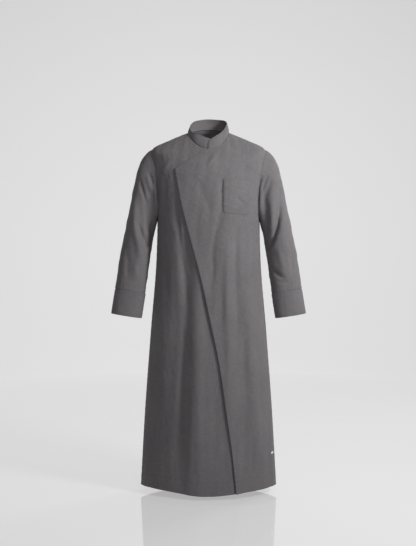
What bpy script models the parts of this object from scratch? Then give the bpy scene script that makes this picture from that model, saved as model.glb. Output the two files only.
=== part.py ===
"""A thobe robe with a crossed front, standing collar and cuffed sleeves, filled out as if worn.

Metres, +Z up, the front towards -Y and the wearer's left towards +X. Heights in the tables are
above the side hem; the origin is the middle of the neck opening, where the shoulders carry the robe.
Every piece of cloth is a wall: an outer grid of points, and the same grid moved inwards.
"""

import math
from collections import namedtuple

import bpy
import numpy as np

# Driving sizes
ORIGIN_HEIGHT = 1.370
CLOTH = 0.0020
COLLAR_CLOTH = 0.0022
POCKET_CLOTH = 0.0012
TAG_CLOTH = 0.0008
SEAM_GAP = 0.0005
PATCH_GAP = 0.0007
LAP = 0.0036
EDGE_LIFT = 0.0030

# Body rings, one row for each: where it is along the side, its height at the side, front and back,
# its half width and depths, how square it is at the side and across the front and back (1 is an
# ellipse, less is squarer), and how narrow the dip or rise at the middle is
RING_COLUMNS = "station side_z front_z back_z half_width front back side_power depth_power dip_power"
Ring = namedtuple("Ring", RING_COLUMNS)
BODY_RINGS = (
    Ring(0.000, 0.000, -0.012, 0.000, 0.2640, 0.146, 0.172, 1.00, 1.42, 8.0),
    Ring(0.170, 0.170, 0.161, 0.170, 0.2550, 0.146, 0.164, 1.00, 1.32, 7.0),
    Ring(0.330, 0.330, 0.325, 0.330, 0.2450, 0.144, 0.157, 0.98, 1.20, 6.0),
    Ring(0.600, 0.600, 0.599, 0.600, 0.2245, 0.140, 0.146, 0.93, 1.02, 4.0),
    Ring(0.890, 0.890, 0.890, 0.890, 0.2020, 0.135, 0.131, 0.86, 0.88, 2.0),
    Ring(1.040, 1.040, 1.036, 1.038, 0.1985, 0.132, 0.126, 0.85, 0.85, 1.5),
    Ring(1.100, 1.100, 1.088, 1.094, 0.2080, 0.131, 0.125, 0.89, 0.88, 1.5),
    Ring(1.165, 1.165, 1.140, 1.156, 0.2210, 0.128, 0.122, 0.95, 0.93, 1.5),
    Ring(1.235, 1.235, 1.190, 1.224, 0.2265, 0.122, 0.117, 0.98, 0.96, 1.5),
    Ring(1.285, 1.285, 1.224, 1.278, 0.2250, 0.113, 0.108, 0.98, 0.96, 1.5),
    Ring(1.308, 1.3045, 1.243, 1.302, 0.2190, 0.107, 0.100, 0.96, 0.94, 1.5),
    Ring(1.380, 1.339, 1.272, 1.352, 0.1550, 0.092, 0.077, 0.98, 0.96, 1.5),
    Ring(1.460, 1.370, 1.298, 1.392, 0.0810, 0.076, 0.056, 1.00, 1.00, 1.5),
)
HEM = BODY_RINGS[0].station
NECK = BODY_RINGS[-1].station

# Armhole, an oval on the body's side: between these stations, this many degrees forward and back
UNDERARM = 1.040
SHOULDER_TIP = 1.308
ARMHOLE_FRONT = 29.5
ARMHOLE_BACK = 31.0
ARMHOLE_POWER = 0.9
ARMHOLE_MIDDLE = (UNDERARM + SHOULDER_TIP) / 2
ARMHOLE_HALF = (SHOULDER_TIP - UNDERARM) / 2

# Edges of the two fronts, as seen from the front: sideways place at each height
EdgePoint = namedtuple("EdgePoint", "z x")
OVER_EDGE = (
    EdgePoint(0.000, 0.102),
    EdgePoint(0.140, 0.087),
    EdgePoint(0.280, 0.068),
    EdgePoint(0.480, 0.040),
    EdgePoint(0.655, 0.004),
    EdgePoint(0.790, -0.025),
    EdgePoint(0.940, -0.064),
    EdgePoint(1.070, -0.097),
    EdgePoint(1.217, -0.126),
)
UNDER_EDGE = (
    EdgePoint(0.000, 0.195),
    EdgePoint(0.600, 0.130),
    EdgePoint(1.000, 0.085),
    EdgePoint(1.220, 0.046),
)
UNDER_NECK_END = 22.5
LAP_MARGIN = 3.0
LAP_FADE = 20.0
EDGE_ROLL = 0.020
EDGE_MATCH = 10.0
NECK_OUTWARD = 0.65
NECK_WAY_START = 1.36

# Soft folds, each drawn on the front or the back by a curve with three guide points (x, z):
# top, middle and bottom, with its half width, and its height out of the cloth (a trough is negative)
Fold = namedtuple("Fold", "piece x0 z0 x1 z1 x2 z2 width depth")
FOLDS = (
    Fold("under", -0.071, 1.080, -0.088, 0.500, -0.122, -0.060, 0.030, -0.0110),
    Fold("under", -0.048, 0.760, -0.042, 0.380, -0.036, -0.100, 0.032, 0.0100),
    Fold("under", -0.096, 1.100, -0.112, 0.880, -0.150, 0.440, 0.024, 0.0060),
    Fold("under", -0.172, 0.560, -0.196, 0.260, -0.212, -0.060, 0.032, -0.0075),
    Fold("over", 0.048, 1.080, 0.004, 0.900, 0.012, 0.740, 0.022, -0.0045),
    Fold("over", 0.102, 1.060, 0.104, 0.640, 0.138, 0.180, 0.024, -0.0075),
    Fold("over", 0.160, 0.760, 0.176, 0.380, 0.196, -0.060, 0.026, 0.0060),
    Fold("over", 0.068, 0.940, 0.074, 0.480, 0.092, -0.060, 0.026, 0.0050),
    Fold("back", -0.105, 1.120, -0.120, 0.600, -0.165, -0.060, 0.032, -0.0110),
    Fold("back", -0.050, 0.980, -0.052, 0.560, -0.080, -0.060, 0.034, 0.0100),
    Fold("back", 0.012, 1.080, 0.004, 0.520, 0.000, -0.060, 0.030, -0.0120),
    Fold("back", 0.066, 0.900, 0.080, 0.460, 0.096, -0.060, 0.034, 0.0100),
    Fold("back", 0.112, 1.080, 0.130, 0.640, 0.168, -0.060, 0.032, -0.0110),
    Fold("left_sleeve", 0.272, 1.170, 0.296, 1.035, 0.216, 0.920, 0.022, -0.0070),
    Fold("left_sleeve", 0.250, 1.160, 0.236, 1.060, 0.240, 0.980, 0.020, 0.0050),
    Fold("left_sleeve", 0.285, 1.010, 0.292, 0.900, 0.302, 0.790, 0.026, 0.0040),
    Fold("right_sleeve", -0.264, 1.170, -0.278, 1.030, -0.224, 0.920, 0.022, -0.0065),
    Fold("right_sleeve", -0.284, 1.160, -0.290, 1.040, -0.286, 0.930, 0.020, 0.0040),
    Fold("right_sleeve", -0.250, 0.980, -0.266, 0.890, -0.272, 0.790, 0.024, 0.0045),
)
FOLD_STEPS = 12
FACING_FADE = 0.5
BACK_FOLD_DROP = 0.020
BACK_FOLD_SHARE = 0.8
ARMHOLE_FADE = 0.55
NECK_FADE = 0.050

# Sleeve rings: where each is along the sleeve, its outer and inner points from the front,
# its half depth from front to back and how far back its middle lies
SleeveRing = namedtuple("SleeveRing", "station outer_x outer_z inner_x inner_z half_depth middle_y")
SLEEVE_RINGS = (
    SleeveRing(0.00, 0.2190, 1.3045, 0.1965, 1.0400, 0.066, 0.000),
    SleeveRing(0.06, 0.2370, 1.2945, 0.2010, 1.0220, 0.067, 0.002),
    SleeveRing(0.14, 0.2560, 1.2720, 0.2060, 1.0000, 0.068, 0.003),
    SleeveRing(0.24, 0.2730, 1.2350, 0.2120, 0.9780, 0.069, 0.003),
    SleeveRing(0.38, 0.2880, 1.1750, 0.2180, 0.9500, 0.068, 0.002),
    SleeveRing(0.53, 0.3050, 1.0850, 0.2240, 0.9080, 0.066, -0.002),
    SleeveRing(0.69, 0.3240, 0.9880, 0.2310, 0.8580, 0.060, -0.009),
    SleeveRing(0.84, 0.3440, 0.8850, 0.2380, 0.8030, 0.053, -0.019),
    SleeveRing(1.00, 0.3605, 0.7620, 0.2450, 0.7450, 0.046, -0.032),
)
CUFF_RINGS = (
    SleeveRing(0.00, 0.3617, 0.7616, 0.2438, 0.7446, 0.0472, -0.032),
    SleeveRing(1.00, 0.3755, 0.6690, 0.2575, 0.6500, 0.0450, -0.037),
)
SLEEVE_POWER = 0.88
SLEEVE_BLEND = 0.35

# Collar band: its top edge's height at each angle from the front, and the shape of its front ends
CollarEdge = namedtuple("CollarEdge", "angle z")
COLLAR_TOP_EDGE = (
    CollarEdge(0.0, 1.3320),
    CollarEdge(23.0, 1.3490),
    CollarEdge(54.0, 1.3745),
    CollarEdge(72.0, 1.3960),
    CollarEdge(100.0, 1.4140),
    CollarEdge(135.0, 1.4260),
    CollarEdge(180.0, 1.4320),
    CollarEdge(225.0, 1.4230),
    CollarEdge(250.0, 1.4070),
    CollarEdge(282.0, 1.3800),
    CollarEdge(320.0, 1.3580),
    CollarEdge(353.0, 1.3425),
    CollarEdge(382.5, 1.3295),
)
COLLAR_TOP_HALF_WIDTH = 0.0728
COLLAR_TOP_FRONT = 0.0665
COLLAR_TOP_BACK = 0.0545
COLLAR_UNDER_END = COLLAR_TOP_EDGE[-1].angle
COLLAR_UNDER_TUCK = 0.0024
COLLAR_TUCK_DEGREES = (310.0, 355.0)
COLLAR_CORNER_DEGREES = 15.0
COLLAR_CORNER_DROP = 0.10

# Breast pocket on the wearer's left, seen from the front
POCKET_INNER_X = 0.055
POCKET_OUTER_X = 0.156
POCKET_TOP_Z = 1.176
POCKET_DEPTH = 0.129
POCKET_TILT = -0.05
POCKET_CORNER = 0.012

# Plain tag at the left side seam
TAG_Z = 0.128
TAG_WIDTH_DEGREES = (69.5, 76.0)
TAG_HEIGHT = 0.006

# Mesh counts
SIDE_ROWS = 17
ARMHOLE_ROWS = 11
SHOULDER_COLUMNS = 6
FLAP_COLUMNS = 6
NECK_STEP = 7.5
SLEEVE_ROWS = 12
CUFF_ROWS = 2
COLLAR_ROWS = 3
POCKET_COLUMNS = 9
POCKET_ROWS = 6
POCKET_CORNER_ROWS = 4
ANGLE_PULL = 0.80
STATION_PULL = 0.65
EDGE_PASSES = 12

# Finishes: colour and roughness
CHARCOAL = ((0.127, 0.120, 0.125, 1.0), 0.85)
WHITE = ((0.85, 0.85, 0.84, 1.0), 0.7)


def clear_scene():
    for thing in list(bpy.data.objects):
        bpy.data.objects.remove(thing)


def material(name, finish):
    colour, roughness = finish
    made = bpy.data.materials.new(name)
    made.use_nodes = True
    shader = made.node_tree.nodes["Principled BSDF"]
    shader.inputs["Base Color"].default_value = colour
    shader.inputs["Roughness"].default_value = roughness
    shader.inputs["Metallic"].default_value = 0.0
    return made


def smoothstep(value):
    share = np.clip(value, 0.0, 1.0)
    return share * share * (3.0 - 2.0 * share)


def monotone(xs, ys, x):
    """A smooth curve through a table that never overshoots its points."""
    xs = np.asarray(xs, float)
    ys = np.asarray(ys, float)
    x = np.clip(np.asarray(x, float), xs[0], xs[-1])
    run = np.diff(xs)
    slope = np.diff(ys) / run
    before, after = slope[:-1], slope[1:]
    same_way = before * after > 0
    total = np.where(same_way, before + after, 1.0)
    tangent = np.zeros_like(ys)
    tangent[1:-1] = np.where(same_way, 2.0 * before * after / total, 0.0)
    tangent[0] = slope[0]
    tangent[-1] = slope[-1]
    k = np.clip(np.searchsorted(xs, x, side="right") - 1, 0, len(run) - 1)
    t = (x - xs[k]) / run[k]
    start = (1 + 2 * t) * (1 - t) ** 2 * ys[k] + t * (1 - t) ** 2 * run[k] * tangent[k]
    end = t * t * (3 - 2 * t) * ys[k + 1] + t * t * (t - 1) * run[k] * tangent[k + 1]
    return start + end


def column(table, name, at, key="station"):
    return monotone([getattr(row, key) for row in table], [getattr(row, name) for row in table], at)


def unit(vectors):
    return vectors / np.maximum(np.linalg.norm(vectors, axis=-1, keepdims=True), 1e-12)


def body(angle, station):
    """A point of the smooth body: angle in degrees from the front, positive to the wearer's left."""
    radians = np.radians(angle)
    sine, cosine = np.sin(radians), np.cos(radians)
    ahead = cosine >= 0
    side_power = column(BODY_RINGS, "side_power", station)
    depth_power = column(BODY_RINGS, "depth_power", station)
    x = column(BODY_RINGS, "half_width", station) * np.sign(sine) * np.abs(sine) ** side_power
    reach = np.abs(cosine) ** depth_power
    front = -column(BODY_RINGS, "front", station)
    y = np.where(ahead, front, column(BODY_RINGS, "back", station)) * reach
    side_z = column(BODY_RINGS, "side_z", station)
    end_z = np.where(ahead, column(BODY_RINGS, "front_z", station), column(BODY_RINGS, "back_z", station))
    z = side_z + (end_z - side_z) * np.abs(cosine) ** column(BODY_RINGS, "dip_power", station)
    return np.stack([x, y, z], axis=-1)


def normal_of(surface, u, v, step_u, step_v):
    """The outward normal of surface(u, v), by central differences."""
    along_u = surface(u + step_u, v) - surface(u - step_u, v)
    along_v = surface(u, v + step_v) - surface(u, v - step_v)
    return unit(np.cross(along_u, along_v))


def body_normal(angle, station):
    station = np.clip(station, HEM + 0.002, NECK - 0.002)
    return normal_of(body, angle, station, 0.4, 0.001)


def front_place(x, z):
    """The angle and station where the front of the body lies at x and z."""
    low = np.full(np.shape(x), HEM)
    high = np.full(np.shape(x), NECK)
    for _ in range(40):
        middle = (low + high) / 2
        above = body(front_angle(x, middle), middle)[..., 2] > z
        high = np.where(above, middle, high)
        low = np.where(above, low, middle)
    return front_angle(x, low), low


def front_angle(x, station):
    share = np.clip(np.abs(x) / column(BODY_RINGS, "half_width", station), 0.0, 0.9999)
    power = column(BODY_RINGS, "side_power", station)
    return np.sign(x) * np.degrees(np.arcsin(share ** (1.0 / power)))


def edge_x(table, z):
    return column(table, "x", z, key="z")


def fold_height(piece, points, facing):
    """How far the folds of a piece move each of its points out of the cloth."""
    total = np.zeros(points.shape[:-1])
    t = np.linspace(0.0, 1.0, FOLD_STEPS + 1)
    for fold in (row for row in FOLDS if row.piece == piece):
        guide = np.array([(fold.x0, fold.z0), (fold.x1, fold.z1), (fold.x2, fold.z2)])
        weights = np.stack([(1 - t) ** 2, 2 * t * (1 - t), t * t], axis=-1)
        curve = weights @ guide
        start, step = curve[:-1], np.diff(curve, axis=0)
        offset = points[..., None, ::2] - start
        share = np.clip(np.sum(offset * step, axis=-1) / np.sum(step * step, axis=-1), 0.0, 1.0)
        away = np.linalg.norm(offset - share[..., None] * step, axis=-1)
        nearest = np.argmin(away, axis=-1)[..., None]
        along = (nearest + np.take_along_axis(share, nearest, axis=-1))[..., 0] / FOLD_STEPS
        distance = np.take_along_axis(away, nearest, axis=-1)[..., 0]
        strength = np.sin(math.pi * np.clip(along, 0.0, 1.0)) ** 0.6
        total += fold.depth * strength * np.exp(-((distance / fold.width) ** 2))
    return total * smoothstep(facing / FACING_FADE)


def seam_fade(angle, station):
    """0 on the armhole and neck seams, and 1 away from them."""
    side = np.where(np.cos(np.radians(angle)) >= 0, ARMHOLE_FRONT, ARMHOLE_BACK)
    off_side = 90.0 - np.abs(((angle + 180.0) % 360.0) - 180.0)
    oval = np.hypot(off_side / side, (station - ARMHOLE_MIDDLE) / ARMHOLE_HALF)
    return smoothstep((oval - 1.0) / ARMHOLE_FADE) * smoothstep((NECK - station) / NECK_FADE)


def lift_way(angle, station):
    """The way the upper front stands out: square to the cloth, and more sideways near the neck."""
    radians = np.radians(angle)
    level = np.stack([np.sin(radians), -np.cos(radians), np.zeros_like(radians)], axis=-1)
    share = (NECK_OUTWARD * smoothstep((station - NECK_WAY_START) / (NECK - NECK_WAY_START)))[..., None]
    return unit(body_normal(angle, station) * (1.0 - share) + level * share)


def lap_lift(angle, station):
    """How far the upper front stands out over the lower one."""
    z = body(angle, station)[..., 2]
    hidden = front_angle(edge_x(UNDER_EDGE, z), station)
    hidden = hidden + (UNDER_NECK_END - hidden) * smoothstep((station - 1.25) / (NECK - 1.25))
    covered = 1.0 - smoothstep((angle - hidden - LAP_MARGIN) / LAP_FADE)
    edge = front_angle(edge_x(OVER_EDGE, z), station)
    from_edge = np.radians(angle - edge) * column(BODY_RINGS, "half_width", station)
    roll = np.exp(-((from_edge / EDGE_ROLL) ** 2)) * smoothstep((OVER_EDGE[-1].z - z) / 0.15)
    return LAP * covered + EDGE_LIFT * roll * covered


def folds_of(piece, angle, station):
    """The folds of a panel, flat at its seams."""
    base = body(angle, station)
    normal = body_normal(angle, station)
    facing = normal[..., 1] if piece == "back" else -normal[..., 1]
    return fold_height(piece, base, facing) * seam_fade(angle, station)


def panel_surface(piece):
    """The outer surface of the upper front, lower front or back."""

    def surface(angle, station):
        base = body(angle, station)
        out = folds_of(piece, angle, station)
        lift = np.zeros_like(out)
        if piece == "over":
            lift = lap_lift(angle, station)
        if piece == "under":
            edge = front_angle(edge_x(OVER_EDGE, base[..., 2]), station)
            share = smoothstep((angle - edge + EDGE_MATCH) / EDGE_MATCH)
            out = out * (1.0 - share) + folds_of("over", angle, station) * share
        normal = body_normal(angle, station)
        return base + normal * out[..., None] + lift_way(angle, station) * lift[..., None]

    return surface


def armhole(turn, side, spread=1.0):
    """The angle and station on the body of the armhole at turn: 0 at the shoulder, 180 at the underarm."""
    radians = np.radians(turn)
    sine = np.sin(radians)
    swing = np.where(sine >= 0, ARMHOLE_FRONT, ARMHOLE_BACK) * np.sign(sine) * np.abs(sine) ** ARMHOLE_POWER
    station = ARMHOLE_MIDDLE + ARMHOLE_HALF * np.cos(radians) * spread
    return side * (90.0 - swing * spread), station


def tube(rings, turn, station, side):
    """A point of a sleeve or cuff: turn is 0 on the outer side, 90 at the front."""
    outer = np.stack([column(rings, "outer_x", station), column(rings, "outer_z", station)], axis=-1)
    inner = np.stack([column(rings, "inner_x", station), column(rings, "inner_z", station)], axis=-1)
    radians = np.radians(turn)
    cosine, sine = np.cos(radians), np.sin(radians)
    across = np.sign(cosine) * np.abs(cosine) ** SLEEVE_POWER
    ahead = np.sign(sine) * np.abs(sine) ** SLEEVE_POWER
    flat = (outer + inner) / 2 + (outer - inner) / 2 * across[..., None]
    y = column(rings, "middle_y", station) - column(rings, "half_depth", station) * ahead
    return np.stack([side * flat[..., 0], y, flat[..., 1]], axis=-1)


def sleeve_surface(side):
    """The outer surface of a sleeve, which starts exactly on the armhole."""
    piece = "left_sleeve" if side > 0 else "right_sleeve"

    def plain(turn, station):
        rooted = body(*armhole(turn, side))
        start = tube(SLEEVE_RINGS, turn, np.zeros_like(station), side)
        fade = 1.0 - smoothstep(station / SLEEVE_BLEND)
        return tube(SLEEVE_RINGS, turn, station, side) + (rooted - start) * fade[..., None]

    def surface(turn, station):
        base = plain(turn, station)
        inside = np.clip(station, 0.01, 0.99)
        normal = side * normal_of(plain, turn, inside, 1.0, 0.005)
        ends = smoothstep(station / 0.12) * smoothstep((1.0 - station) / 0.12)
        front = fold_height(piece, base, -normal[..., 1])
        lowered = base + np.array([0.0, 0.0, BACK_FOLD_DROP])
        behind = fold_height(piece, lowered, normal[..., 1]) * BACK_FOLD_SHARE
        return base + normal * ((front + behind) * ends)[..., None]

    return surface


def collar_surface(angle, share):
    """The collar band: share is 0 on the neck seam and 1 at the top edge."""
    lift = np.where(angle < 90.0, lap_lift(angle, np.full(np.shape(angle), NECK)), 0.0)
    base = body(angle, np.full(np.shape(angle), NECK))
    radians = np.radians(angle)
    sine, cosine = np.sin(radians), np.cos(radians)
    depth = np.where(cosine >= 0, -COLLAR_TOP_FRONT, COLLAR_TOP_BACK)
    top = np.stack(
        [
            COLLAR_TOP_HALF_WIDTH * sine,
            depth * np.abs(cosine),
            column(COLLAR_TOP_EDGE, "z", angle, "angle"),
        ],
        axis=-1,
    )
    outward = unit(np.stack([sine, -cosine, np.zeros_like(sine)], axis=-1))
    corner = COLLAR_CORNER_DROP * np.clip(1.0 - angle / COLLAR_CORNER_DEGREES, 0.0, 1.0) ** 2
    reach = (share * (1.0 - corner))[..., None]
    bow = 0.0015 * np.sin(math.pi * share)
    base = base + lift_way(angle, np.full(np.shape(angle), NECK)) * lift[..., None]
    tuck_from, tuck_to = COLLAR_TUCK_DEGREES
    tuck = COLLAR_UNDER_TUCK * smoothstep((angle - tuck_from) / (tuck_to - tuck_from))
    top = top + outward * (lift - tuck)[..., None]
    return base * (1 - reach) + top * reach + outward * bow[..., None]


def patch(bottom, top, left, right):
    """Angles and stations inside four edges, each an array of pairs."""
    columns, rows = len(bottom), len(left)
    across = np.linspace(0.0, 1.0, columns)[None, :, None]
    share = np.linspace(0.0, 1.0, rows)
    pulls = [smoothstep((share - start) / (1.0 - start)) for start in (ANGLE_PULL, STATION_PULL)]
    up = np.stack(pulls, axis=-1)[:, None, :]
    ends = (1 - across) * (left[:, None, :] - (1 - up) * bottom[0] - up * top[0])
    ends = ends + across * (right[:, None, :] - (1 - up) * bottom[-1] - up * top[-1])
    return (1 - up) * bottom[None, :, :] + up * top[None, :, :] + ends


def pairs(angles, stations):
    angles, stations = np.broadcast_arrays(np.asarray(angles, float), np.asarray(stations, float))
    return np.stack([angles, stations], axis=-1)


def join_rows(*runs):
    """Runs of points end to end, with each shared end kept once."""
    return np.concatenate([runs[0]] + [run[1:] for run in runs[1:]])


def side_edge(side, ahead):
    """Up the side seam, then round the front or back of the armhole to the shoulder tip."""
    seam = pairs(side * 90.0, np.linspace(HEM, UNDERARM, SIDE_ROWS + 1))
    turns = np.linspace(180.0, 0.0, ARMHOLE_ROWS + 1) * (1 if ahead else -1)
    angles, stations = armhole(turns, side)
    run = join_rows(seam, pairs(angles, stations))
    if not ahead and side < 0:
        run[:, 0] += 360.0
    return run


def shoulder_run(angle):
    return pairs(angle, np.linspace(NECK, SHOULDER_TIP, SHOULDER_COLUMNS + 1))


def neck_run(start, end):
    steps = int(round(abs(end - start) / NECK_STEP))
    return pairs(np.linspace(start, end, steps + 1), NECK)


def free_edge(table, top_station):
    """A front's free edge, with a pair for each row of the panel."""
    low = np.linspace(HEM, UNDERARM, SIDE_ROWS + 1)
    stations = join_rows(low, np.linspace(UNDERARM, top_station, ARMHOLE_ROWS + 1))
    angles = np.zeros_like(stations)
    for _ in range(EDGE_PASSES):
        z = body(angles, stations)[..., 2]
        angles = front_angle(edge_x(table, z), stations)
    return pairs(angles, stations)


def over_grid():
    right = side_edge(1, ahead=True)
    corner = OVER_EDGE[-1]
    corner_angle, corner_station = front_place(np.array([corner.x]), np.array([corner.z]))
    left = free_edge(OVER_EDGE, corner_station[0])
    left[-1] = (corner_angle[0], corner_station[0])
    neck_front = body(np.array([0.0]), np.array([NECK]))[0]
    share = np.linspace(0.0, 1.0, FLAP_COLUMNS + 1)
    flap_x = corner.x * (1 - share)
    flap_z = corner.z + (neck_front[2] - corner.z) * share
    flap = pairs(*front_place(flap_x, flap_z))
    flap[-1] = (0.0, NECK)
    top = join_rows(flap, neck_run(0.0, 90.0), shoulder_run(90.0))
    bottom = pairs(np.linspace(left[0, 0], 90.0, len(top)), HEM)
    return patch(bottom, top, left, right)


def under_grid():
    left = side_edge(-1, ahead=True)
    right = free_edge(UNDER_EDGE, NECK)
    blend = smoothstep((right[:, 1] - 1.25) / (NECK - 1.25))
    right[:, 0] += (UNDER_NECK_END - right[:, 0]) * blend
    top = join_rows(shoulder_run(-90.0)[::-1], neck_run(-90.0, UNDER_NECK_END))
    bottom = pairs(np.linspace(-90.0, right[0, 0], len(top)), HEM)
    return patch(bottom, top, left, right)


def back_grid():
    left = side_edge(1, ahead=False)
    right = side_edge(-1, ahead=False)
    top = join_rows(shoulder_run(90.0)[::-1], neck_run(90.0, 270.0), shoulder_run(270.0))
    bottom = pairs(np.linspace(90.0, 270.0, len(top)), HEM)
    return patch(bottom, top, left, right)


def pull_in(points, amount, sides):
    """Moves a grid's named edges a little way in, to leave the seam gap."""
    moved = points.copy()
    runs = {
        "first_row": (np.s_[0], np.s_[1]),
        "last_row": (np.s_[-1], np.s_[-2]),
        "first_column": (np.s_[:, 0], np.s_[:, 1]),
        "last_column": (np.s_[:, -1], np.s_[:, -2]),
    }
    for name in sides:
        edge, beside = runs[name]
        moved[edge] += unit(moved[beside] - moved[edge]) * amount
    return moved


def mitred(own, other, other_way, thickness):
    """The way through a wall at a seam: shared by both walls where they meet in an outward crease."""
    inward_crease = np.sum(own * other_way, axis=-1, keepdims=True)
    shared = unit(own + other * (1.0 - smoothstep(inward_crease / 0.3)))
    lean = np.maximum(np.sum(shared * own, axis=-1, keepdims=True), 0.5)
    return -shared * thickness / lean


def wall(name, outer, inward, finish, closed=False):
    """A closed body between a grid of outer points and the same grid moved inwards."""
    rows, columns = outer.shape[:2]
    inner = outer + inward
    vertices = np.concatenate([outer.reshape(-1, 3), inner.reshape(-1, 3)])
    vertices = vertices - np.array([0.0, 0.0, ORIGIN_HEIGHT])
    shift = rows * columns
    faces = []
    spans = columns if closed else columns - 1
    for j in range(rows - 1):
        for i in range(spans):
            k = (i + 1) % columns
            low, high = j * columns, (j + 1) * columns
            quad = (low + i, low + k, high + k, high + i)
            for face in halves(vertices, quad):
                faces.append(face)
                faces.append(tuple(shift + corner for corner in reversed(face)))
    for i in range(spans):
        k = (i + 1) % columns
        last = (rows - 1) * columns
        faces.append((i, shift + i, shift + k, k))
        faces.append((last + i, last + k, shift + last + k, shift + last + i))
    if not closed:
        for j in range(rows - 1):
            a, b = j * columns, (j + 1) * columns
            c, d = a + columns - 1, b + columns - 1
            faces.append((a, b, shift + b, shift + a))
            faces.append((c, shift + c, shift + d, d))
    if signed_volume(vertices, faces) < 0:
        faces = [tuple(reversed(face)) for face in faces]
    mesh = bpy.data.meshes.new(name)
    mesh.from_pydata(vertices.tolist(), [], faces)
    mesh.validate()
    mesh.shade_smooth()
    mesh.set_sharp_from_angle(angle=math.radians(40.0))
    made = bpy.data.objects.new(name, mesh)
    bpy.context.scene.collection.objects.link(made)
    mesh.materials.append(material(name + "_cloth", finish))
    return made


def halves(vertices, quad):
    """The two triangles of a quad, cut across its shorter way."""
    a, b, c, d = quad
    if np.linalg.norm(vertices[a] - vertices[c]) <= np.linalg.norm(vertices[b] - vertices[d]):
        return (a, b, c), (a, c, d)
    return (a, b, d), (b, c, d)


def signed_volume(vertices, faces):
    total = 0.0
    for face in faces:
        for second, third in zip(face[1:], face[2:]):
            total += np.dot(vertices[face[0]], np.cross(vertices[second], vertices[third]))
    return total / 6.0


def body_panel(name, piece, grid, finish, armholes):
    """One panel of the body, which meets the sleeves at its armholes."""
    angles, stations = grid[..., 0], grid[..., 1]
    surface = panel_surface(piece)
    outer = surface(angles, stations)
    inside = np.clip(stations, HEM + 0.003, NECK - 0.003)
    normals = normal_of(surface, angles, inside, 0.4, 0.001)
    inward = -normals * CLOTH
    for side, edge, ahead in armholes:
        turns = np.linspace(180.0, 0.0, ARMHOLE_ROWS + 1) * (1 if ahead else -1)
        seam = np.s_[:SIDE_ROWS, edge]
        inward[seam] = -body_normal(angles[seam], stations[seam]) * CLOTH
        rows = np.s_[SIDE_ROWS:, edge]
        normal, way = sleeve_root(turns, side)
        inward[rows] = mitred(normals[rows], normal, way, CLOTH)
    outer = pull_in(outer, SEAM_GAP / 2, ("last_row", "first_column", "last_column"))
    return wall(name, outer, inward, finish)


def sleeve_root(turns, side):
    """The outward normal of a sleeve just off the armhole, and the way the sleeve leaves it."""
    surface = sleeve_surface(side)
    turns = np.asarray(turns, float)
    start = np.zeros(turns.shape)
    normal = side * normal_of(surface, turns, start + 0.02, 1.0, 0.01)
    return normal, unit(surface(turns, start + 0.05) - surface(turns, start))


def sleeve(name, side, finish):
    surface = sleeve_surface(side)
    turns = np.linspace(0.0, 360.0, 2 * ARMHOLE_ROWS, endpoint=False)
    stations = np.linspace(0.0, 1.0, SLEEVE_ROWS + 1) ** 1.15
    turn_grid, station_grid = np.meshgrid(turns, stations)
    outer = surface(turn_grid, station_grid)
    inside = np.clip(station_grid, 0.01, 0.99)
    normals = side * normal_of(surface, turn_grid, inside, 1.0, 0.005)
    inward = -normals * CLOTH
    own, way = sleeve_root(turns, side)
    rim = armhole(turns, side)
    rim_normal = body_normal(*rim)
    panel_way = unit(body(*armhole(turns, side, 1.08)) - body(*rim))
    inward[0] = mitred(own, rim_normal, panel_way, CLOTH)
    outer = pull_in(outer, SEAM_GAP / 2, ("last_row",))
    outer[0] += unit(rim_normal + way) * SEAM_GAP
    return wall(name, outer, inward, finish, closed=True)


def cuff(name, side, finish):
    turns = np.linspace(0.0, 360.0, 2 * ARMHOLE_ROWS, endpoint=False)
    turn_grid, station_grid = np.meshgrid(turns, np.linspace(0.0, 1.0, CUFF_ROWS + 1))

    def surface(turn, station):
        return tube(CUFF_RINGS, turn, station, side)

    outer = surface(turn_grid, station_grid)
    inside = np.clip(station_grid, 0.05, 0.95)
    normals = side * normal_of(surface, turn_grid, inside, 1.0, 0.04)
    outer = pull_in(outer, SEAM_GAP / 2, ("first_row",))
    return wall(name, outer, -normals * CLOTH, finish, closed=True)


def collar(finish):
    steps = int(round(COLLAR_UNDER_END / NECK_STEP))
    angles = np.linspace(0.0, COLLAR_UNDER_END, steps + 1)
    angle_grid, share_grid = np.meshgrid(angles, np.linspace(0.0, 1.0, COLLAR_ROWS + 1))
    outer = collar_surface(angle_grid, share_grid)
    normals = normal_of(collar_surface, angle_grid, np.clip(share_grid, 0.05, 0.95), 0.5, 0.04)
    outer = pull_in(outer, SEAM_GAP / 2, ("first_row",))
    return wall("collar", outer, -normals * COLLAR_CLOTH, finish)


def pocket(finish):
    """A patch pocket with round lower corners, made from the upper front's own points."""
    straight = np.linspace(0.0, POCKET_DEPTH - POCKET_CORNER, POCKET_ROWS)
    turn = np.radians(np.linspace(0.0, 90.0, POCKET_CORNER_ROWS + 1))
    down = join_rows(straight, straight[-1] + POCKET_CORNER * np.sin(turn))[:, None]
    inset = POCKET_CORNER * join_rows(np.zeros(POCKET_ROWS), 1.0 - np.cos(turn))[:, None]
    across = np.linspace(0.0, 1.0, POCKET_COLUMNS + 1)[None, :]
    width = POCKET_OUTER_X - POCKET_INNER_X
    x = POCKET_INNER_X + inset + (width - 2 * inset) * across
    z = POCKET_TOP_Z - down + POCKET_TILT * (x - POCKET_INNER_X)
    angles, stations = front_place(x, z)
    return lying_on_front("breast_pocket", angles, stations, POCKET_CLOTH, finish)


def side_tag(finish):
    angles = np.linspace(*TAG_WIDTH_DEGREES, 3)[None, :]
    stations = TAG_Z + np.array([0.5, -0.5])[:, None] * TAG_HEIGHT
    angles, stations = np.broadcast_arrays(angles, stations)
    return lying_on_front("side_tag", angles, stations, TAG_CLOTH, finish)


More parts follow.
